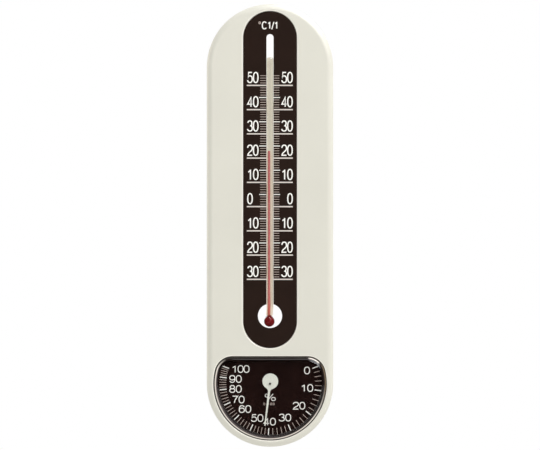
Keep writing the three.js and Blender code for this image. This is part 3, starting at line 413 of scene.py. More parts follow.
def nested(name, outer, inner):
    """One object of two turned shells, and how many of its faces, the last ones, are the inner shell's."""
    mesh = bpy.data.meshes.new(name)
    inner.to_mesh(mesh)
    count = len(inner.faces)
    inner.free()
    outer.from_mesh(mesh)
    bpy.data.meshes.remove(mesh)
    return to_object(name, outer), count


def lean(z):
    """How far the tube's middle is to the side at z, because its bulb is off centre."""
    share = min(1, max(0, (LEAN_TOP - z) / LEAN_LENGTH))
    return BULB_SHIFT * share * share * (3 - 2 * share)


def upright(radius, angle, z, x=0.0):
    """A point round the thermometer's axis, or round one set off sideways by x."""
    return place(lean(z) + x + radius * math.cos(angle), TUBE_HEIGHT - radius * math.sin(angle), z)


def in_bore(radius, angle, z):
    """A point round the bore, which leaves the tube's middle within BORE_DRIFT above the bulb's middle."""
    share = min(1, max(0, (z - BALL_Z) / BORE_DRIFT))
    return upright(radius, angle, z, (BORE_X - BORE_LEAN_SHARE * lean(z)) * share)


def ball(radius, z, start, end, steps):
    """Profile points (radius, z) of a ball, angles above the level."""
    points = []
    for x, height in arc(0, z, radius, start, end, steps):
        points.append((x if x > 1e-6 else 0, height))
    return points


def shade(obj, angle, weighted=True):
    """Smooth shading that keeps the edges sharper than angle, in degrees."""
    mesh = obj.data
    mesh.polygons.foreach_set("use_smooth", [True] * len(mesh.polygons))
    mesh.set_sharp_from_angle(angle=math.radians(angle))
    if weighted:
        modifier = obj.modifiers.new("normals", "WEIGHTED_NORMAL")
        modifier.keep_sharp = True
    return obj


def dress(obj, material, body, replaced=()):
    """Gives a piece its material, and sets it on its body, if one carries it whole."""
    obj.data.materials.clear()
    obj.data.materials.append(material)
    if body:
        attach(obj, body)
    if replaced:
        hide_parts(*replaced)
    return obj


# Materials

def linear(red, green, blue):
    """An sRGB colour of 0 to 255 as the linear colour that a shader takes."""
    values = []
    for value in (red, green, blue):
        share = value / 255
        values.append(share / 12.92 if share <= 0.04045 else ((share + 0.055) / 1.055) ** 2.4)
    return (*values, 1)


def scaled(colour, factor):
    return (*(min(1, c * factor) for c in colour[:3]), 1)


# Finishes: noise scales per metre, depths in metres
NOISE_ROUGHNESS = 0.55
GLOSS_SPREAD = 0.06
TARNISH_SCALE = 220
STREAK_SCALE = 900
STREAK_DEPTH = 0.00001
STREAK_WAVE = 0.15
STREAK_SMOOTHER = 0.08
STREAK_ROUGHER = 0.1
VEIL_GLOSS = (0.2, 0.35)
VEIL_TINT = (1, 0.94, 0.92)
RIPPLE_DEPTH = 0.00002
CLEAR_TINT = (0.99, 0.99, 0.99)


class Nodes:
    """Short ways to add the nodes of a material or of the world. A source is a pair (node, output)."""

    def __init__(self, owner):
        owner.use_nodes = True
        self.tree = owner.node_tree
        self.tree.nodes.clear()
        self.place = self.add("TexCoord")

    def feed(self, node, into, value):
        """Links an input to a source, or sets it to a value."""
        if isinstance(value, tuple) and isinstance(value[1], str):
            source, out = value
            self.tree.links.new(source.outputs[out], node.inputs[into])
        else:
            node.inputs[into].default_value = value

    def add(self, kind, operation=None, *values, **inputs):
        """A node with its inputs, in order or by name, set to values or linked to sources."""
        node = self.tree.nodes.new("ShaderNode" + kind)
        if operation:
            node.operation = operation
        for into, value in enumerate(values):
            self.feed(node, into, value)
        for into, value in inputs.items():
            self.feed(node, into.replace("_", " "), value)
        return node

    def noise(self, scale, detail, stretch=(1, 1, 1)):
        """Noise over the object's coordinates in metres, stretched."""
        mapping = self.add("Mapping", Vector=(self.place, "Object"), Scale=stretch)
        finish = {"Scale": scale, "Detail": detail, "Roughness": NOISE_ROUGHNESS}
        return self.add("TexNoise", Vector=(mapping, "Vector"), **finish), "Fac"

    def ranged(self, source, low, high, from_low=0.3, from_high=0.7):
        """A value brought from one range, by default that of most noise, to another, and held there."""
        limits = {"From_Min": from_low, "From_Max": from_high, "To_Min": low, "To_Max": high}
        return self.add("MapRange", Value=source, **limits), "Result"

    def ramp(self, source, stops):
        node = self.add("ValToRGB", Fac=source)
        elements = node.color_ramp.elements
        while len(elements) < len(stops):
            elements.new(0.5)
        for element, (position, colour) in zip(elements, stops):
            element.position = position
            element.color = colour
        return node, "Color"

    def calculated(self, operation, first, second):
        return self.add("Math", operation, first, second), "Value"

    def nearness(self, source, direction):
        """How nearly a direction of the source is the given one: 1 where they are the same."""
        return self.add("VectorMath", "DOT_PRODUCT", source, direction), "Value"

    def mixed(self, first, second, share):
        return self.add("MixRGB", None, share, first, second), "Color"


class Surface(Nodes):
    """A new material with one shader."""

    def __init__(self, name):
        self.material = bpy.data.materials.new(name)
        super().__init__(self.material)
        self.shader = self.add("BsdfPrincipled")
        self.output = self.add("OutputMaterial", Surface=(self.shader, "BSDF"))

    def set(self, **values):
        for into, value in values.items():
            self.feed(self.shader, into.replace("_", " "), value)

    def patched(self, colour, scale, darker, lighter, high=0.7):
        """Faint patches, darker and lighter than the colour by these shares."""
        stops = [(0.3, scaled(colour, 1 - darker)), (high, scaled(colour, 1 + lighter))]
        self.set(Base_Color=self.ramp(self.noise(scale, 4), stops))

    def bump(self, height, strength, distance):
        node = self.add("Bump", Height=height, Strength=strength, Distance=distance)
        self.set(Normal=(node, "Normal"))

    def let_through(self, colour):
        """Lets lamp and scattered light through, in a colour, to what lies behind."""
        rays = self.add("LightPath")
        passing = self.calculated("MAXIMUM", (rays, "Is Shadow Ray"), (rays, "Is Diffuse Ray"))
        through = self.add("BsdfTransparent", Color=(*colour, 1))
        mix = self.add("MixShader", None, passing, (self.shader, "BSDF"), (through, "BSDF"))
        self.feed(self.output, "Surface", (mix, "Shader"))
        return self.material


def plastic(name, colour, roughness, spread, patch, grain, depth, wave, through=None, **extra):
    """Moulded plastic, paint or print: faint colour patches, uneven gloss and a fine grain.

    Patch and grain are noise scales per metre, depth is the grain's in metres, and extra goes to the shader.
    """
    surface = Surface(name)
    surface.patched(colour, patch, spread, spread)
    fine = surface.noise(grain, 2)
    surface.set(Roughness=surface.ranged(fine, roughness - GLOSS_SPREAD, roughness + GLOSS_SPREAD), **extra)
    surface.bump(fine, wave, depth)
    if through:
        surface.let_through(through)
    return surface.material


def metal(name, colour, roughness, stretch, spread=0.08):
    """Metal with fine drawn or turned streaks and a little tarnish."""
    surface = Surface(name)
    surface.patched(colour, TARNISH_SCALE, spread, spread / 2, 0.75)
    streaks = surface.noise(STREAK_SCALE, 3, stretch)
    uneven = surface.ranged(streaks, roughness - STREAK_SMOOTHER, roughness + STREAK_ROUGHER)
    surface.set(Roughness=uneven, Metallic=1)
    surface.bump(streaks, STREAK_WAVE, STREAK_DEPTH)
    return surface.material


def clear(name, colour, ior, roughness, ripple, wave):
    """Clear glass or plastic that lets lamp light through to what lies behind it."""
    surface = Surface(name)
    ripples = surface.noise(ripple, 2)
    surface.set(Base_Color=colour, IOR=ior, Transmission_Weight=1)
    surface.set(Roughness=surface.ranged(ripples, 0, roughness))
    surface.bump(ripples, wave, RIPPLE_DEPTH)
    return surface.let_through(CLEAR_TINT)


def veil(name, colour_high, colour_low, cover_high, cover_low, patch):
    """A thin sleeve whose colour is a painted glow. It hides part of what lies behind it, more of it low down
    than high up, and turns from its high colour to its low one.
    """
    surface = Surface(name)
    split = surface.add("SeparateXYZ", Vector=(surface.place, "Object"))
    high, low = ((z - HANG) * MM for z in GLOW_FADE)
    depth = surface.ranged((split, "Z"), 0, 1, high, low)
    surface.set(
        Base_Color=surface.ramp(depth, [(0, colour_high), (1, colour_low)]),
        Alpha=surface.ranged((split, "Z"), cover_high, cover_low, high, low),
        Roughness=surface.ranged(surface.noise(patch, 3), *VEIL_GLOSS),
        Specular_IOR_Level=0,
    )
    return surface.let_through(VEIL_TINT)


# Painted light and shade on the cover's rounded edge, in place of its reflections and refraction. The edge
# runs from 0 at its side to 1 at its flat front
# Painted shade on the edge
RIM_PAINTED_SHADE = (24, 14, 11)
# A painted pale line: the reflected light of the lit wall beside the edge
RIM_PAINTED_LINE = (
    (0.0, RIM_PAINTED_SHADE), (0.44, RIM_PAINTED_SHADE), (0.51, (244, 235, 226)), (0.69, (236, 227, 218)), (0.77, RIM_PAINTED_SHADE),
)
# A painted glow of light that has passed through the moulding, inside the pale line at the lower left
RIM_PAINTED_GLOW = (98, 87, 88)
# A painted warm reflection along the right side
RIM_WARM_REFLECTION = (112, 94, 72)
RIM_CLEAR = (0.985, 0.99, 0.99, 1)
RIM_SHIFT = 0.05
RIM_WARM_REFLECTION_END = (0.5, 0.68)
RIM_GLOW_START = (0.76, 0.82)
RIM_CLEARING = (0.89, 0.94)
RIM_PAINT_END = (0.94, 0.975)
RIM_RIPPLE = 60
RIM_WAVE = 0.04
RIM_GLOSS = (0.04, 0.1)
RIM_IOR = 1.42
RIM_SHINE = 0.28
# Ways that the edge faces sideways, with the nearness to each at which the line's shift or a share of the
# painted light and shade starts and is full
FACING_LEFT = ((-1, 0, 0), 0.2, 1)
FACING_PAINTED_LIGHT = ((-0.55, 0, -0.83), -0.55, 0.1)
FACING_PAINTED_HIGHLIGHT = ((0.42, 0, 0.91), 0.917, 0.965)
FACING_WARM_REFLECTION = ((1, 0, 0.15), 0.88, 0.98)
FACING_PAINTED_GLOW = ((-0.75, 0, -0.66), 0.3, 0.95)


def rim_material():
    """Clear plastic whose rounded edge carries painted light and shade, in place of the light of the wall
    beside it that the edge gathers.

    The edge is painted pale along the left, the foot and the upper right corner, where the pale paint is a
    painted highlight, and painted dark below the straight top.
    """
    surface = Surface("edge of the clear moulding")
    split = surface.add("SeparateXYZ", Vector=(surface.place, "Normal"))
    facing = surface.ranged((split, "Y"), 0, 1, 0, -1)
    flat = surface.add("CombineXYZ", X=(split, "X"), Z=(split, "Z"))
    outward = surface.add("VectorMath", "NORMALIZE", (flat, "Vector"))

    def towards(direction, low, high):
        """How far the edge faces sideways in a direction, as a share from 0 to 1."""
        return surface.ranged(surface.nearness((outward, "Vector"), direction), 0, 1, low, high)

    shift = surface.calculated("MULTIPLY", towards(*FACING_LEFT), RIM_SHIFT)
    front = surface.calculated("SUBTRACT", facing, shift)
    # The painted pale line on painted shade, full on the lit lower left side
    painted_line = surface.ramp(front, [(at, linear(*colour)) for at, colour in RIM_PAINTED_LINE])
    painted_light = surface.mixed(linear(*RIM_PAINTED_SHADE), painted_line, towards(*FACING_PAINTED_LIGHT))
    # Painted highlight on the upper right corner
    painted_light = surface.mixed(painted_light, painted_line, towards(*FACING_PAINTED_HIGHLIGHT))
    # Painted warm reflection on the right side, near the edge's foot
    outer = surface.ranged(facing, 1, 0, *RIM_WARM_REFLECTION_END)
    warm_reflection = surface.calculated("MULTIPLY", outer, towards(*FACING_WARM_REFLECTION))
    painted_light = surface.mixed(painted_light, linear(*RIM_WARM_REFLECTION), warm_reflection)
    # Painted glow inside the pale line, towards the lower left
    inner = surface.ranged(front, 0, 1, *RIM_GLOW_START)
    painted_glow = surface.calculated("MULTIPLY", inner, towards(*FACING_PAINTED_GLOW))
    painted_light = surface.mixed(painted_light, linear(*RIM_PAINTED_GLOW), painted_glow)
    # The edge turns clear before its painted light and shade end, so that no grey ring shows between the two.
    painted_share = surface.ranged(facing, 1, 0, *RIM_PAINT_END)
    ripples = surface.noise(RIM_RIPPLE, 2)
    surface.set(
        Base_Color=surface.mixed(RIM_CLEAR, painted_light, painted_share),
        Transmission_Weight=surface.ranged(facing, 0, 1, *RIM_CLEARING),
        Roughness=surface.ranged(ripples, *RIM_GLOSS),
        IOR=RIM_IOR, Specular_IOR_Level=RIM_SHINE,
    )
    surface.bump(ripples, RIM_WAVE, RIPPLE_DEPTH)
    return surface.let_through(CLEAR_TINT)


IVORY = plastic(
    "moulded ivory", linear(228, 226, 214), roughness=0.42, spread=0.02,
    patch=18, grain=2600, depth=0.000012, wave=0.25,
)
# The lip's colour, lighter than the ivory, is a painted highlight on the rounded edges of the openings; its
# lower roughness is a real polish
LIP_HIGHLIGHT = plastic(
    "polished lip with painted highlight", linear(255, 251, 240), roughness=0.24, spread=0.01,
    patch=18, grain=2600, depth=0.00001, wave=0.15,
)
WHITE = plastic(
    "off-white moulding", linear(222, 221, 214), roughness=0.45, spread=0.025,
    patch=50, grain=2200, depth=0.00002, wave=0.25,
)
PRINT_DARK = plastic(
    "dark print", linear(34, 20, 13), roughness=0.5, spread=0.10,
    patch=60, grain=3000, depth=0.000006, wave=0.2, Specular_IOR_Level=0.12,
)
DIAL_DARK = plastic(
    "dark dial", linear(31, 15, 12), roughness=0.6, spread=0.14,
    patch=45, grain=3000, depth=0.000006, wave=0.2, Specular_IOR_Level=0.05,
)
INK = plastic(
    "screen print", linear(255, 252, 246), roughness=0.5, spread=0.02,
    patch=300, grain=5000, depth=0.000004, wave=0.2,
)
LINE_INK = plastic(
    "screen print of the long lines", linear(224, 215, 207), roughness=0.5, spread=0.04,
    patch=300, grain=5000, depth=0.000004, wave=0.2,
)
FINE_INK = plastic(
    "fine screen print", linear(196, 180, 170), roughness=0.5, spread=0.05,
    patch=300, grain=5000, depth=0.000004, wave=0.2,
)
ENAMEL = plastic(
    "cream enamel", linear(255, 246, 226), roughness=0.3, spread=0.03,
    patch=120, grain=900, depth=0.00001, wave=0.15,
)
SPIRIT = plastic(
    "red spirit", linear(200, 52, 76), roughness=0.2, spread=0.03,
    patch=200, grain=1200, depth=0.000004, wave=0.05, through=(0.98, 0.84, 0.8),
)
# A painted glow of light passing through the spirit: a pale sleeve round the red core, browner and denser low
# down over the bulb's hole
SPIRIT_PAINTED_GLOW = veil(
    "spirit's painted glow", linear(255, 190, 178), linear(204, 118, 98),
    cover_high=0.14, cover_low=0.62, patch=120,
)
BULB_SPIRIT = plastic(
    "red spirit in the bulb", linear(104, 14, 18), roughness=0.3, spread=0.35,
    patch=480, grain=1200, depth=0.000004, wave=0.1, Specular_IOR_Level=0.1,
)
PAINT = plastic(
    "cream paint", linear(229, 231, 219), roughness=0.38, spread=0.03,
    patch=160, grain=1800, depth=0.00001, wave=0.2,
)
BRIGHT_PAINT = plastic(
    "bright paint", linear(255, 253, 244), roughness=0.38, spread=0.01,
    patch=160, grain=1800, depth=0.00001, wave=0.2,
)
GAP_SHADE = plastic(
    "shaded foot of the cover", linear(26, 17, 13), roughness=0.7, spread=0.1,
    patch=60, grain=900, depth=0.00001, wave=0.1, Specular_IOR_Level=0.05,
)
FLOOR = plastic(
    "pale floor", linear(238, 237, 234), roughness=0.7, spread=0.015,
    patch=3, grain=60, depth=0.0002, wave=0.1,
)
GLASS = clear("drawn glass", (1, 1, 0.99, 1), ior=1.5, roughness=0.03, ripple=90, wave=0.05)
BORE = clear("wetted bore", (0.95, 0.945, 0.93, 1), ior=1, roughness=0.01, ripple=90, wave=0)
THIN_GLASS = clear("thin blown glass", (1, 0.99, 0.99, 1), ior=1.12, roughness=0.02, ripple=200, wave=0.03)
CLEAR = clear("clear moulding", (0.985, 0.99, 0.99, 1), ior=1.49, roughness=0.04, ripple=60, wave=0.04)
# Painted light and shade for the cover's rounded edge
PAINTED_RIM = rim_material()
DARK_STEEL = metal("darkened steel", (0.06, 0.05, 0.045, 1), roughness=0.4, stretch=(1, 1, 6))
STEEL = metal("plain steel", (0.56, 0.56, 0.55, 1), roughness=0.32, stretch=(1, 1, 6))
BRASS = metal("brass", (0.72, 0.53, 0.25, 1), roughness=0.3, stretch=(6, 1, 1))
STRIP = metal("coated strip", (0.66, 0.46, 0.28, 1), roughness=0.42, stretch=(1, 8, 1), spread=0.14)


# Case

def case_body():
    rings = [(case_outline(PARTING_BEVEL), PARTING), (case_outline(0), PARTING + PARTING_BEVEL)]
    rings += edge_rings(case_outline, CASE_DEPTH, EDGE_RADIUS, 9)
    body = loft("case_body", rings)
    hollow_rings = [(case_outline(CASE_WALL), PARTING - TOOL_OVERRUN)]
    hollow_rings += edge_rings(
        lambda inset: case_outline(CASE_WALL + inset), FACE_BACK, EDGE_RADIUS - CASE_WALL, 5,
    )
    combine(body, "DIFFERENCE", loft("hollow", hollow_rings))

    # The tops are staggered, so that joined bodies that meet don't end in one plane.
    root = FACE_BACK + FACE_OVERLAP
    margin = HOLE_STEP + COLLAR
    added = [
        slab("collar", stadium(HOLE_Z, SLOT_TOP_ARC_Z, SLOT_RADIUS + margin), COLLAR_BACK, root),
        slab("collar_ring", circle(0, HOLE_Z, HOLE_RADIUS + margin, 64), COLLAR_BACK, root + STAGGER),
    ]
    for i in range(RIB_COUNT):
        z = RIB_LOWEST_Z + (RIB_HIGHEST_Z - RIB_LOWEST_Z) * i / (RIB_COUNT - 1)
        low, high = z - RIB_HALF_THICKNESS, z + RIB_HALF_THICKNESS
        corners = [(-RIB_REACH, low), (RIB_REACH, low), (RIB_REACH, high), (-RIB_REACH, high)]
        added.append(slab("rib", corners, PARTING, root + 2 * STAGGER))
    rim = slab("rim", window(-RIM_REACH), FRAME_BACK, root + 3 * STAGGER)
    pocket = slab("pocket", window(-RIM_POCKET_REACH), FRAME_BACK - TOOL_OVERRUN, FACE_BACK)
    added.append(combine(rim, "DIFFERENCE", pocket))
    for x in (-BOSS_X, BOSS_X):
        added.append(slab("boss", circle(x, BOSS_Z, BOSS_RADIUS, 32), FRAME_BACK, root + STAGGER))
    combine(body, "UNION", *added)

    groove = slab("groove", case_outline(GROOVE_OUTER_INSET), PARTING - TOOL_OVERRUN, GROOVE_FRONT)
    core_points = case_outline(GROOVE_INNER_INSET)
    core = slab("groove_core", core_points, PARTING - 2 * TOOL_OVERRUN, GROOVE_FRONT + TOOL_OVERRUN)
    collar_low, face_high = COLLAR_BACK - TOOL_OVERRUN, CASE_DEPTH + TOOL_OVERRUN
    slot = stadium(HOLE_Z, SLOT_TOP_ARC_Z, SLOT_RADIUS + HOLE_STEP)
    hole = circle(0, HOLE_Z, HOLE_RADIUS + HOLE_STEP, 64)
    cuts = [
        combine(groove, "DIFFERENCE", core),
        opening("recess", lambda inset: plate_outline(inset - RECESS_CLEARANCE), RECESS_FLOOR),
        slab("slot", slot, collar_low, face_high),
        slab("hole", hole, collar_low, face_high),
        opening("window", window, DIAL_BACK),
    ]
    for x in (-BOSS_X, BOSS_X):
        points = circle(x, BOSS_Z, PILOT_RADIUS, 24)
        cuts.append(slab("pilot", points, FRAME_BACK - TOOL_OVERRUN, PILOT_FRONT))
    combine(body, "DIFFERENCE", *cuts)
    dress(shade(body, 30), IVORY, "root", ("case_shell",))

    # The rounded edges of the openings take the lip's painted highlight
    body.data.materials.append(LIP_HIGHLIGHT)
    for face in body.data.polygons:
        middle = face.center
        height = -middle.y / MM
        past_arc = max(0, abs(middle.z / MM + HANG) - CASE_ARC_Z)
        inside = math.hypot(middle.x / MM, past_arc) < CASE_RADIUS - EDGE_RADIUS + LIP_MARGIN
        rounded = LIP_FACING[0] < -face.normal.y < LIP_FACING[1]
        if inside and rounded and height > CASE_DEPTH - OPENING_EDGE:
            face.material_index = 1


def scale_plate():
    rings = [(plate_outline(0), PLATE_BACK)] + edge_rings(plate_outline, PLATE_FRONT, PLATE_BEVEL, 3)
    plate = loft("printed_plate", rings)
    low, high = PLATE_BACK - TOOL_OVERRUN, PLATE_FRONT + TOOL_OVERRUN
    combine(
        plate, "DIFFERENCE",
        slab("slot", stadium(HOLE_Z, SLOT_TOP_ARC_Z, SLOT_RADIUS, 40), low, high),
        slab("hole", circle(0, HOLE_Z, HOLE_RADIUS, 96), low, high),
    )
    dress(shade(plate, 30), PRINT_DARK, "root", ("scale_plate",))


# Thermometer

def thermometer():
    neck = math.acos(TUBE_RADIUS / BULB_RADIUS)
    outside = ball(BULB_RADIUS, BALL_Z, -math.pi / 2, neck - NECK_BLEND_ANGLE, 26)
    low = BALL_Z + BULB_RADIUS * math.sin(neck)
    outside += [(TUBE_RADIUS + out, low + rise) for out, rise in NECK_FILLET]
    for i in range(1, 30):
        outside.append((TUBE_RADIUS, low + NECK_RISE + (TUBE_TOP - TIP_LENGTH - low) * i / 30))
    outside += [(radius, TUBE_TOP - drop) for radius, drop in TIP_OUTSIDE]

    inside = [(radius, TUBE_TOP - drop) for radius, drop in TIP_INSIDE]
    bore_top = TUBE_TOP - BORE_TOP_DROP
    for i in range(24):
        inside.append((BORE_RADIUS, bore_top - (bore_top - BALL_Z - BORE_DRIFT) * i / 23))
    wall = BULB_RADIUS - BULB_WALL
    inside += ball(wall, BALL_Z, math.acos(BORE_RADIUS / wall), -math.pi / 2, 24)

    tube, inner_faces = nested("glass_tube", turned(outside, 56, upright), turned(inside, 40, in_bore))
    dress(shade(tube, 60, False), GLASS, "root", ("thermometer_tube",))
    tube.data.materials.append(BORE)
    tube.data.materials.append(THIN_GLASS)
    for face in tube.data.polygons:
        if face.center.z / MM + HANG < THIN_GLASS_TOP:
            face.material_index = 2
    for face in tube.data.polygons[-inner_faces:]:
        face.material_index = 1


def enamel():
    """The band behind the bore: a slice off a round bar, which leans with the tube."""
    half = math.acos(ENAMEL_FLAT / ENAMEL_RADIUS)
    angles = [-half + 2 * half * i / 18 for i in range(19)]
    section = [(ENAMEL_RADIUS * math.sin(angle), ENAMEL_RADIUS * math.cos(angle)) for angle in angles]
    low, high = BULB_Z + ENAMEL_RISE, TUBE_TOP - ENAMEL_DROP
    loops = []
    for i in range(41):
        z = low + (high - low) * i / 40
        loops.append([place(lean(z) + x, TUBE_HEIGHT - y, z) for x, y in section])
    strip = skinned("enamel_band", loops)
    dress(shade(strip, 40), ENAMEL, "root", ("enamel_strip",))


def thread_profile(radius):
    """Profile of the spirit from inside the bulb to the rounded surface at the reading."""
    profile = [(radius * share, BALL_Z + COLUMN_START + rise) for share, rise in COLUMN_FOOT_SHARES]
    low, high = profile[-1][1], READING_Z - MENISCUS_SHARES[0][1]
    steps = 70
    for i in range(1, steps):
        profile.append((radius, low + (high - low) * i / steps))
    return profile + [(radius * share, READING_Z - drop) for share, drop in MENISCUS_SHARES]


def spirit():
    core = turned(thread_profile(COLUMN_RADIUS), 20, in_bore)
    glow = turned(thread_profile(GLOW_RADIUS), 32, in_bore)
    column, core_faces = nested("spirit_thread", glow, core)
    dress(shade(column, 60, False), SPIRIT_PAINTED_GLOW, None, ("spirit_column",))
    column.data.materials.append(SPIRIT)
    for face in column.data.polygons[-core_faces:]:
        face.material_index = 1
    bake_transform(column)

    profile = ball(SPIRIT_BALL, BALL_Z, -math.pi / 2, SPIRIT_SHOULDER, 24)
    profile += [(radius, BALL_Z + rise) for radius, rise in SPIRIT_TIP]
    bulb = to_object("spirit_ball", turned(profile, 48, upright))
    dress(shade(bulb, 60, False), BULB_SPIRIT, "root", ("bulb_spirit",))


# Window and hand

def window_cover():
    def outer(inset):
        return window(COVER_GAP + inset)

    def inner(inset):
        return window(COVER_GAP + COVER_WALL + inset)

    rings = [(window(-FLANGE_REACH), FLANGE_BACK), (window(-FLANGE_REACH), FLANGE_FRONT)]
    rings += [(outer(0), FLANGE_FRONT)] + edge_rings(outer, COVER_FRONT, COVER_EDGE, 12)
    cover = loft("clear_cover", rings)
    hollow_rings = [(inner(0), FLANGE_BACK - TOOL_OVERRUN)]
    hollow_rings += edge_rings(inner, COVER_FRONT - COVER_WALL, COVER_EDGE - COVER_WALL, 10)
    combine(cover, "DIFFERENCE", loft("hollow", hollow_rings))
    dress(shade(cover, 40), CLEAR, "root", ("window_cover",))
    # The rounded edge takes the painted light and shade, and the cover's foot a dark material for the shade
    # in the gap
    cover.data.materials.append(PAINTED_RIM)
    cover.data.materials.append(GAP_SHADE)
    for face in cover.data.polygons:
        front, height = -face.normal.y, -face.center.y / MM
        foot_high = COVER_FRONT - COVER_EDGE + COVER_MARGIN
        if height > FLANGE_FRONT + COVER_MARGIN and COVER_TOLERANCE < front < COVER_FLAT_FACING:
            face.material_index = 1
        elif FLANGE_FRONT - COVER_TOLERANCE < height < foot_high and front > -COVER_TOLERANCE:
            face.material_index = 2


def dial():
    def outline(inset):
        return window(-FLANGE_REACH + inset)

    face = loft("dial_face", [(outline(0), DIAL_BACK)] + edge_rings(outline, DIAL_FRONT, DIAL_BEVEL, 2))
    hole = circle(0, DIAL_Z, DIAL_HOLE_RADIUS, 40)
    combine(face, "DIFFERENCE", slab("hole", hole, DIAL_BACK - TOOL_OVERRUN, DIAL_FRONT + TOOL_OVERRUN))
    dress(shade(face, 30), DIAL_DARK, "root", ("humidity_dial",))


def hand_points(inset):
    """Outline of the hand pointing straight down from its pivot, drawn in by inset."""
    disc, offset, fillet = HAND_DISC_RADIUS - inset, HAND_DISC_RISE, HAND_FILLET + inset
    root, tip = HAND_ROOT - inset, HAND_TIP - inset
    reach = disc + fillet
    side = root + fillet
    fillet_z = offset - math.sqrt(reach ** 2 - side ** 2)
    touch = math.atan2(fillet_z - offset, side)
    points = arc(0, offset, disc, touch, math.pi - touch, 72)
    points += arc(-side, fillet_z, fillet, -touch, 0, 10)[1:]
    points += arc(0, HAND_TIP - HAND_LENGTH, tip, math.pi, 2 * math.pi, 10)
    points += arc(side, fillet_z, fillet, math.pi, math.pi + touch, 10)[:-1]
    sine, cosine = math.sin(HAND_TURN), math.cos(HAND_TURN)
    return [(x * cosine + z * sine, z * cosine - x * sine + DIAL_Z) for x, z in points]


def humidity_hand():
    inset, rise = HAND_BACK_BEVEL
    rings = [(hand_points(inset), HAND_LOW), (hand_points(0), HAND_LOW + rise)]
    rings += edge_rings(hand_points, HAND_HIGH, HAND_BEVEL, 3)
    hand = loft("painted_hand", rings)
    hub_low = HAND_LOW - HUB_LENGTH
    hub = slab("hub", circle(0, DIAL_Z, HUB_RADIUS, 32), hub_low, HAND_LOW + HUB_OVERLAP)
    combine(hand, "UNION", hub)
    hole = circle(0, DIAL_Z, ARBOR_HOLE_RADIUS, 32)
    combine(hand, "DIFFERENCE", slab("hole", hole, hub_low - TOOL_OVERRUN, HAND_HIGH + TOOL_OVERRUN))
    dress(shade(hand, 35), PAINT, "hand", ("humidity_hand",))
    hand.data.materials.append(BRIGHT_PAINT)
    for face in hand.data.polygons:
        if math.hypot(face.center.x / MM, face.center.z / MM + HANG - DIAL_Z) > POINTER_FROM:
            face.material_index = 1


# Print

def oval(x, z, half_width, half_height, start, end, steps=28):
    """Points of a squarish oval arc, angles in degrees, in a box one unit wide and high."""
    power = 2 / OVAL_POWER
    points = []
    for i in range(steps + 1):
        angle = math.radians(start + (end - start) * i / steps)
        cosine, sine = math.cos(angle), math.sin(angle)
        points.append((
            x + half_width * math.copysign(abs(cosine) ** power, cosine),
            z + half_height * math.copysign(abs(sine) ** power, sine),
        ))
    return points


def bend(start, first, second, end):
    """Points of a cubic curve."""
    steps = 14
    points = []
    for i in range(steps + 1):
        t = i / steps
        s = 1 - t
        weights = (s ** 3, 3 * s * s * t, 3 * s * t * t, t ** 3)
        points.append(tuple(
            sum(w * p[k] for w, p in zip(weights, (start, first, second, end))) for k in (0, 1)
        ))
    return points


# Characters: width as a share of a digit's, and strokes in a box one unit wide and high
GLYPHS = {
    "0": (1.0, [oval(0.5, 0.5, 0.5, 0.5, 90, 450, 44)]),
    "1": (1.0, [[(0.6, 0.98), (0.6, 0)], [(0.12, 0.72), (0.54, 0.88)]]),
    "2": (1.0, [
        oval(0.5, 0.70, 0.5, 0.30, 176, -18) + bend((0.97, 0.60), (0.86, 0.38), (0.06, 0.30), (0.02, 0.0))[1:]
        + [(1.0, 0.0)],
    ]),
    "3": (1.0, [
        oval(0.48, 0.755, 0.44, 0.245, 170, -84, 22),
        oval(0.48, 0.265, 0.52, 0.265, 88, -170, 24),
    ]),
    "4": (1.0, [[(0.72, 0), (0.72, 0.94), (-0.02, 0.26), (1.02, 0.26)]]),
    "5": (1.0, [[(0.92, 1.0), (0.22, 1.0), (0.08, 0.50)] + oval(0.48, 0.33, 0.52, 0.33, 132, -166, 26)]),
    "6": (1.0, [
        oval(0.53, 0.5, 0.53, 0.5, 34, 180, 24) + [(0.0, 0.32)],
        oval(0.5, 0.32, 0.5, 0.32, 180, 540, 36),
    ]),
    "7": (1.0, [[(0.0, 1.0), (1.0, 1.0)] + bend((1.0, 1.0), (0.62, 0.62), (0.38, 0.34), (0.34, 0.0))[1:]]),
    "8": (1.0, [
        oval(0.5, 0.765, 0.42, 0.235, 90, 450, 34),
        oval(0.5, 0.27, 0.5, 0.27, 90, 450, 36),
    ]),
    "9": (1.0, [
        oval(0.47, 0.5, 0.53, 0.5, 214, 360, 24) + [(1.0, 0.68)],
        oval(0.5, 0.68, 0.5, 0.32, 0, 360, 36),
    ]),
    "|": (1.0, [[(1.0, 1.0), (1.0, 0.0)], [(0.0, 0.72), (0.9, 0.92)]]),
    "C": (1.2, [oval(0.5, 0.5, 0.5, 0.5, 38, 322, 34)]),
    "°": (0.42, [oval(0.5, 0.86, 0.5, 0.14, 90, 450, 20)]),
    "/": (0.7, [[(0.0, -0.06), (1.0, 1.06)]]),
    "-": (0.6, [[(0.0, 0.45), (1.0, 0.45)]]),
    "%": (1.0, [
        oval(0.19, 0.76, 0.19, 0.24, 90, 450, 24),
        oval(0.81, 0.24, 0.19, 0.24, 90, 450, 24),
        [(0.22, -0.02), (0.78, 1.02)],
    ]),
}


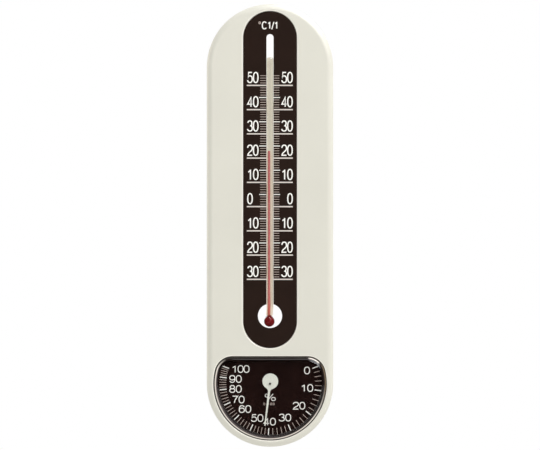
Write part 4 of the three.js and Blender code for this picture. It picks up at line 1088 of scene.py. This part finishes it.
class Print:
    """Collects flat printed strokes on one face, each a thin closed ribbon."""

    def __init__(self, height):
        self.bm = bmesh.new()
        self.height = height
        self.count = 0

    def stroke(self, points, width, closed=False):
        """A ribbon of the given width along points (x, z)."""
        kept = [points[0]]
        for point in points[1:]:
            if math.dist(point, kept[-1]) > 1e-4:
                kept.append(point)
        if closed and math.dist(kept[0], kept[-1]) < 1e-3:
            kept.pop()
        count = len(kept)
        half = width / 2
        front = self.height + INK_THICKNESS + INK_STEP * (self.count % INK_STEPS)
        back = self.height - INK_SINK
        self.count += 1
        rows = []
        for i, (x, z) in enumerate(kept):
            before = kept[i - 1] if i or closed else None
            after = kept[(i + 1) % count] if i + 1 < count or closed else None
            normals = []
            for a, b in ((before, (x, z)), ((x, z), after)):
                if a and b:
                    length = math.dist(a, b)
                    normals.append(((a[1] - b[1]) / length, (b[0] - a[0]) / length))
            nx, nz = (sum(n[k] for n in normals) for k in (0, 1))
            size = math.hypot(nx, nz)
            nx, nz = nx / size, nz / size
            stretch = half / max(LEAST_MITRE, nx * normals[0][0] + nz * normals[0][1])
            rows.append([
                self.bm.verts.new(place(x + side * nx * stretch, height, z + side * nz * stretch))
                for side, height in ((1, front), (-1, front), (-1, back), (1, back))
            ])
        for i in range(count if closed else count - 1):
            a, b = rows[i], rows[(i + 1) % count]
            for k in range(4):
                self.bm.faces.new((a[k], a[(k + 1) % 4], b[(k + 1) % 4], b[k]))
        if not closed:
            self.bm.faces.new(rows[0][::-1])
            self.bm.faces.new(rows[-1])

    def glyph(self, character, x, z, width, height, weight):
        """A character whose ink fills the box from (x, z), width by height."""
        left, low = x + weight / 2, z + weight / 2
        for line in GLYPHS[character][1]:
            closed = math.dist(line[0], line[-1]) < 1e-6
            points = [(left + (width - weight) * u, low + (height - weight) * v) for u, v in line]
            self.stroke(points, weight, closed)

    def text(self, characters, x, z, width, height, weight, gap):
        """Characters of one width side by side from x, with gap between their ink."""
        for character in characters:
            own = width * GLYPHS[character][0]
            self.glyph(character, x, z, own, height, weight)
            x += own + gap

    def finish(self, name, material, slot):
        bmesh.ops.recalc_face_normals(self.bm, faces=self.bm.faces)
        dress(to_object(name, self.bm), material, "root")


def line_z(degrees):
    return LOWEST_LINE_Z + (degrees - LOWEST_DEGREE) * DEGREE


def scale_print():
    fine, bold, lines = Print(PLATE_FRONT), Print(PLATE_FRONT), Print(PLATE_FRONT)
    for degrees in range(LOWEST_DEGREE, HIGHEST_DEGREE + 1):
        if degrees % 10 == 0:
            printed, ends, width = lines, LINE_ENDS, LINE_WIDTH
        elif degrees % 5 == 0:
            printed, ends, width = bold, HALF_ENDS, HALF_WIDTH
        else:
            printed, ends, width = fine, DEGREE_ENDS, DEGREE_WIDTH
        z = line_z(degrees)
        for left, right in ends:
            printed.stroke([(left, z), (right, z)], width)
    for degrees in range(LOWEST_DEGREE, HIGHEST_DEGREE + 1, 10):
        label = str(abs(degrees))
        for x in (LEFT_DIGITS_X, RIGHT_DIGITS_X[len(label)]):
            bold.text(label, x, line_z(degrees) + DIGITS_RISE, **SCALE_DIGIT)
    for character in HEADING:
        bold.glyph(*character)
    fine.glyph(*DEGREE_SIGN)
    fine.finish("scale_ticks", FINE_INK, "cream_paint")
    lines.finish("scale_lines", LINE_INK, "cream_paint")
    bold.finish("scale_numbers", INK, "cream_paint")


def dial_print():
    fine, bold = Print(DIAL_FRONT), Print(DIAL_FRONT)
    for index in range(51):
        decade, part = divmod(index, 5)
        angle = DECADES[decade]
        if part:
            angle += (DECADES[decade + 1] - angle) * part / 5
        sine, cosine = math.sin(math.radians(angle)), math.cos(math.radians(angle))
        ends = [(RING_X + radius * sine, RING_Z - radius * cosine) for radius in TICK_RADII]
        if part:
            fine.stroke(ends, TICK_WIDTH)
        else:
            bold.stroke(ends, DECADE_WIDTH)
    for label, (x, z) in DIAL_NUMBERS.items():
        count = len(label)
        gap = DIAL_DIGIT_GAPS[count]
        half = (DIAL_DIGIT["width"] * count + gap * (count - 1)) / 2
        bold.text(label, x - half, z - DIAL_DIGIT_DROP, **DIAL_DIGIT, gap=gap)
    bold.glyph(*PERCENT_SIGN)
    fine.text(*RANGE_WORD)
    fine.finish("dial_ticks", FINE_INK, "cream_paint")
    bold.finish("dial_numbers", INK, "cream_paint")


# Pieces kept from the solids

# Each piece's material and the width of its edges' bevel, 0 for none
KEPT = {
    "back_frame": (IVORY, 0.2), "hanger_plate": (STEEL, 0.15),
    "tube_clip_upper": (WHITE, 0.25), "tube_clip_middle": (WHITE, 0.25), "tube_clip_lower": (WHITE, 0.25),
    "dial_backplate": (WHITE, 0), "movement_cap": (WHITE, 0),
    "backplate_screw_left": (STEEL, 0), "backplate_screw_right": (STEEL, 0),
    "bridge_screw_left": (STEEL, 0), "bridge_screw_right": (STEEL, 0),
    "cap_screw_left": (STEEL, 0), "cap_screw_right": (STEEL, 0),
    "hand_arbor": (DARK_STEEL, 0), "coil_stud": (STEEL, 0),
    "front_bush": (BRASS, 0), "rear_bush": (BRASS, 0), "movement_bridge": (BRASS, 0),
    "regulator_arm": (BRASS, 0), "coil_collet": (BRASS, 0),
    "humidity_coil": (STRIP, 0),
}


def kept_pieces():
    for name, (material, edge) in KEPT.items():
        obj = NODES[name]
        obj.data.materials.clear()
        obj.data.materials.append(material)
        if edge:
            modifier = obj.modifiers.new("edge", "BEVEL")
            modifier.width = edge * MM
            modifier.segments = 2
            modifier.limit_method = "ANGLE"
            modifier.angle_limit = math.radians(50)
        shade(obj, 35)


# Light, floor and camera

def sky():
    """White behind the object, an even grey surround for it, and a dark room in front for clear faces."""
    world = bpy.data.worlds.new("studio")
    bpy.context.scene.world = world
    nodes = Nodes(world)
    direction = (nodes.place, "Generated")
    split = nodes.add("SeparateXYZ", Vector=direction)
    stops = [(position, (grey, grey, grey, 1)) for position, grey in ROOM_GREYS]
    room = nodes.ramp(nodes.ranged((split, "Y"), 0, 1, -1, 1), stops)
    for towards, low, high, colour in SOFT_BOXES:
        near = nodes.nearness(direction, Vector(towards).normalized())
        glow = nodes.add("VectorMath", "SCALE", colour, Scale=nodes.ranged(near, 0, 1, low, high))
        room = (nodes.add("VectorMath", "ADD", room, (glow, "Vector")), "Vector")
    rays = nodes.add("LightPath")
    mirrored = nodes.calculated("MAXIMUM", (rays, "Is Glossy Ray"), (rays, "Is Transmission Ray"))
    unscattered = nodes.calculated("LESS_THAN", (rays, "Diffuse Depth"), 0.5)
    share = nodes.calculated("MULTIPLY", mirrored, unscattered)
    surround = nodes.mixed((AMBIENT, AMBIENT, AMBIENT, 1), room, share)
    seen = nodes.mixed(surround, (1, 1, 1, 1), (rays, "Is Camera Ray"))
    background = nodes.add("Background", Color=seen)
    nodes.add("OutputWorld", Surface=(background, "Background"))


def lamp(name, position, power):
    """A square soft lamp aimed at the middle of the case."""
    data = bpy.data.lights.new(name, "AREA")
    data.size = LAMP_SIZE
    data.energy = power
    obj = bpy.data.objects.new(name, data)
    bpy.context.scene.collection.objects.link(obj)
    obj.location = Vector(position)
    obj.rotation_euler = (place(0, 0, 0) - obj.location).to_track_quat("-Z", "Y").to_euler()


def floor():
    """A flat pale floor below the object, in squares, with a slightly uneven finish."""
    bm = bmesh.new()
    steps = 24
    marks = [(i / steps - 0.5) * FLOOR_SIZE for i in range(steps + 1)]
    rows = [[bm.verts.new((x, y, FLOOR_Z)) for y in marks] for x in marks]
    for row, beside in zip(rows, rows[1:]):
        for j in range(steps):
            bm.faces.new((row[j], beside[j], beside[j + 1], row[j + 1]))
    obj = to_object("floor", bm)
    obj.data.materials.append(FLOOR)


def camera():
    """Straight in front of the case, as the photograph was taken."""
    data = bpy.data.cameras.new("camera")
    data.sensor_width = SENSOR_WIDTH
    data.lens = SENSOR_WIDTH * CAMERA_DISTANCE / PICTURE_WIDTH
    obj = bpy.data.objects.new("camera", data)
    bpy.context.scene.collection.objects.link(obj)
    obj.location = place(0, CASE_DEPTH + CAMERA_DISTANCE, CAMERA_Z)
    obj.rotation_euler = (math.pi / 2, 0, 0)
    bpy.context.scene.camera = obj


case_body()
scale_plate()
thermometer()
enamel()
spirit()
window_cover()
dial()
humidity_hand()
scale_print()
dial_print()
kept_pieces()
sky()
for name, (position, power) in LAMPS.items():
    lamp(name, position, power)
floor()
camera()
bpy.context.scene.view_settings.view_transform = "Standard"
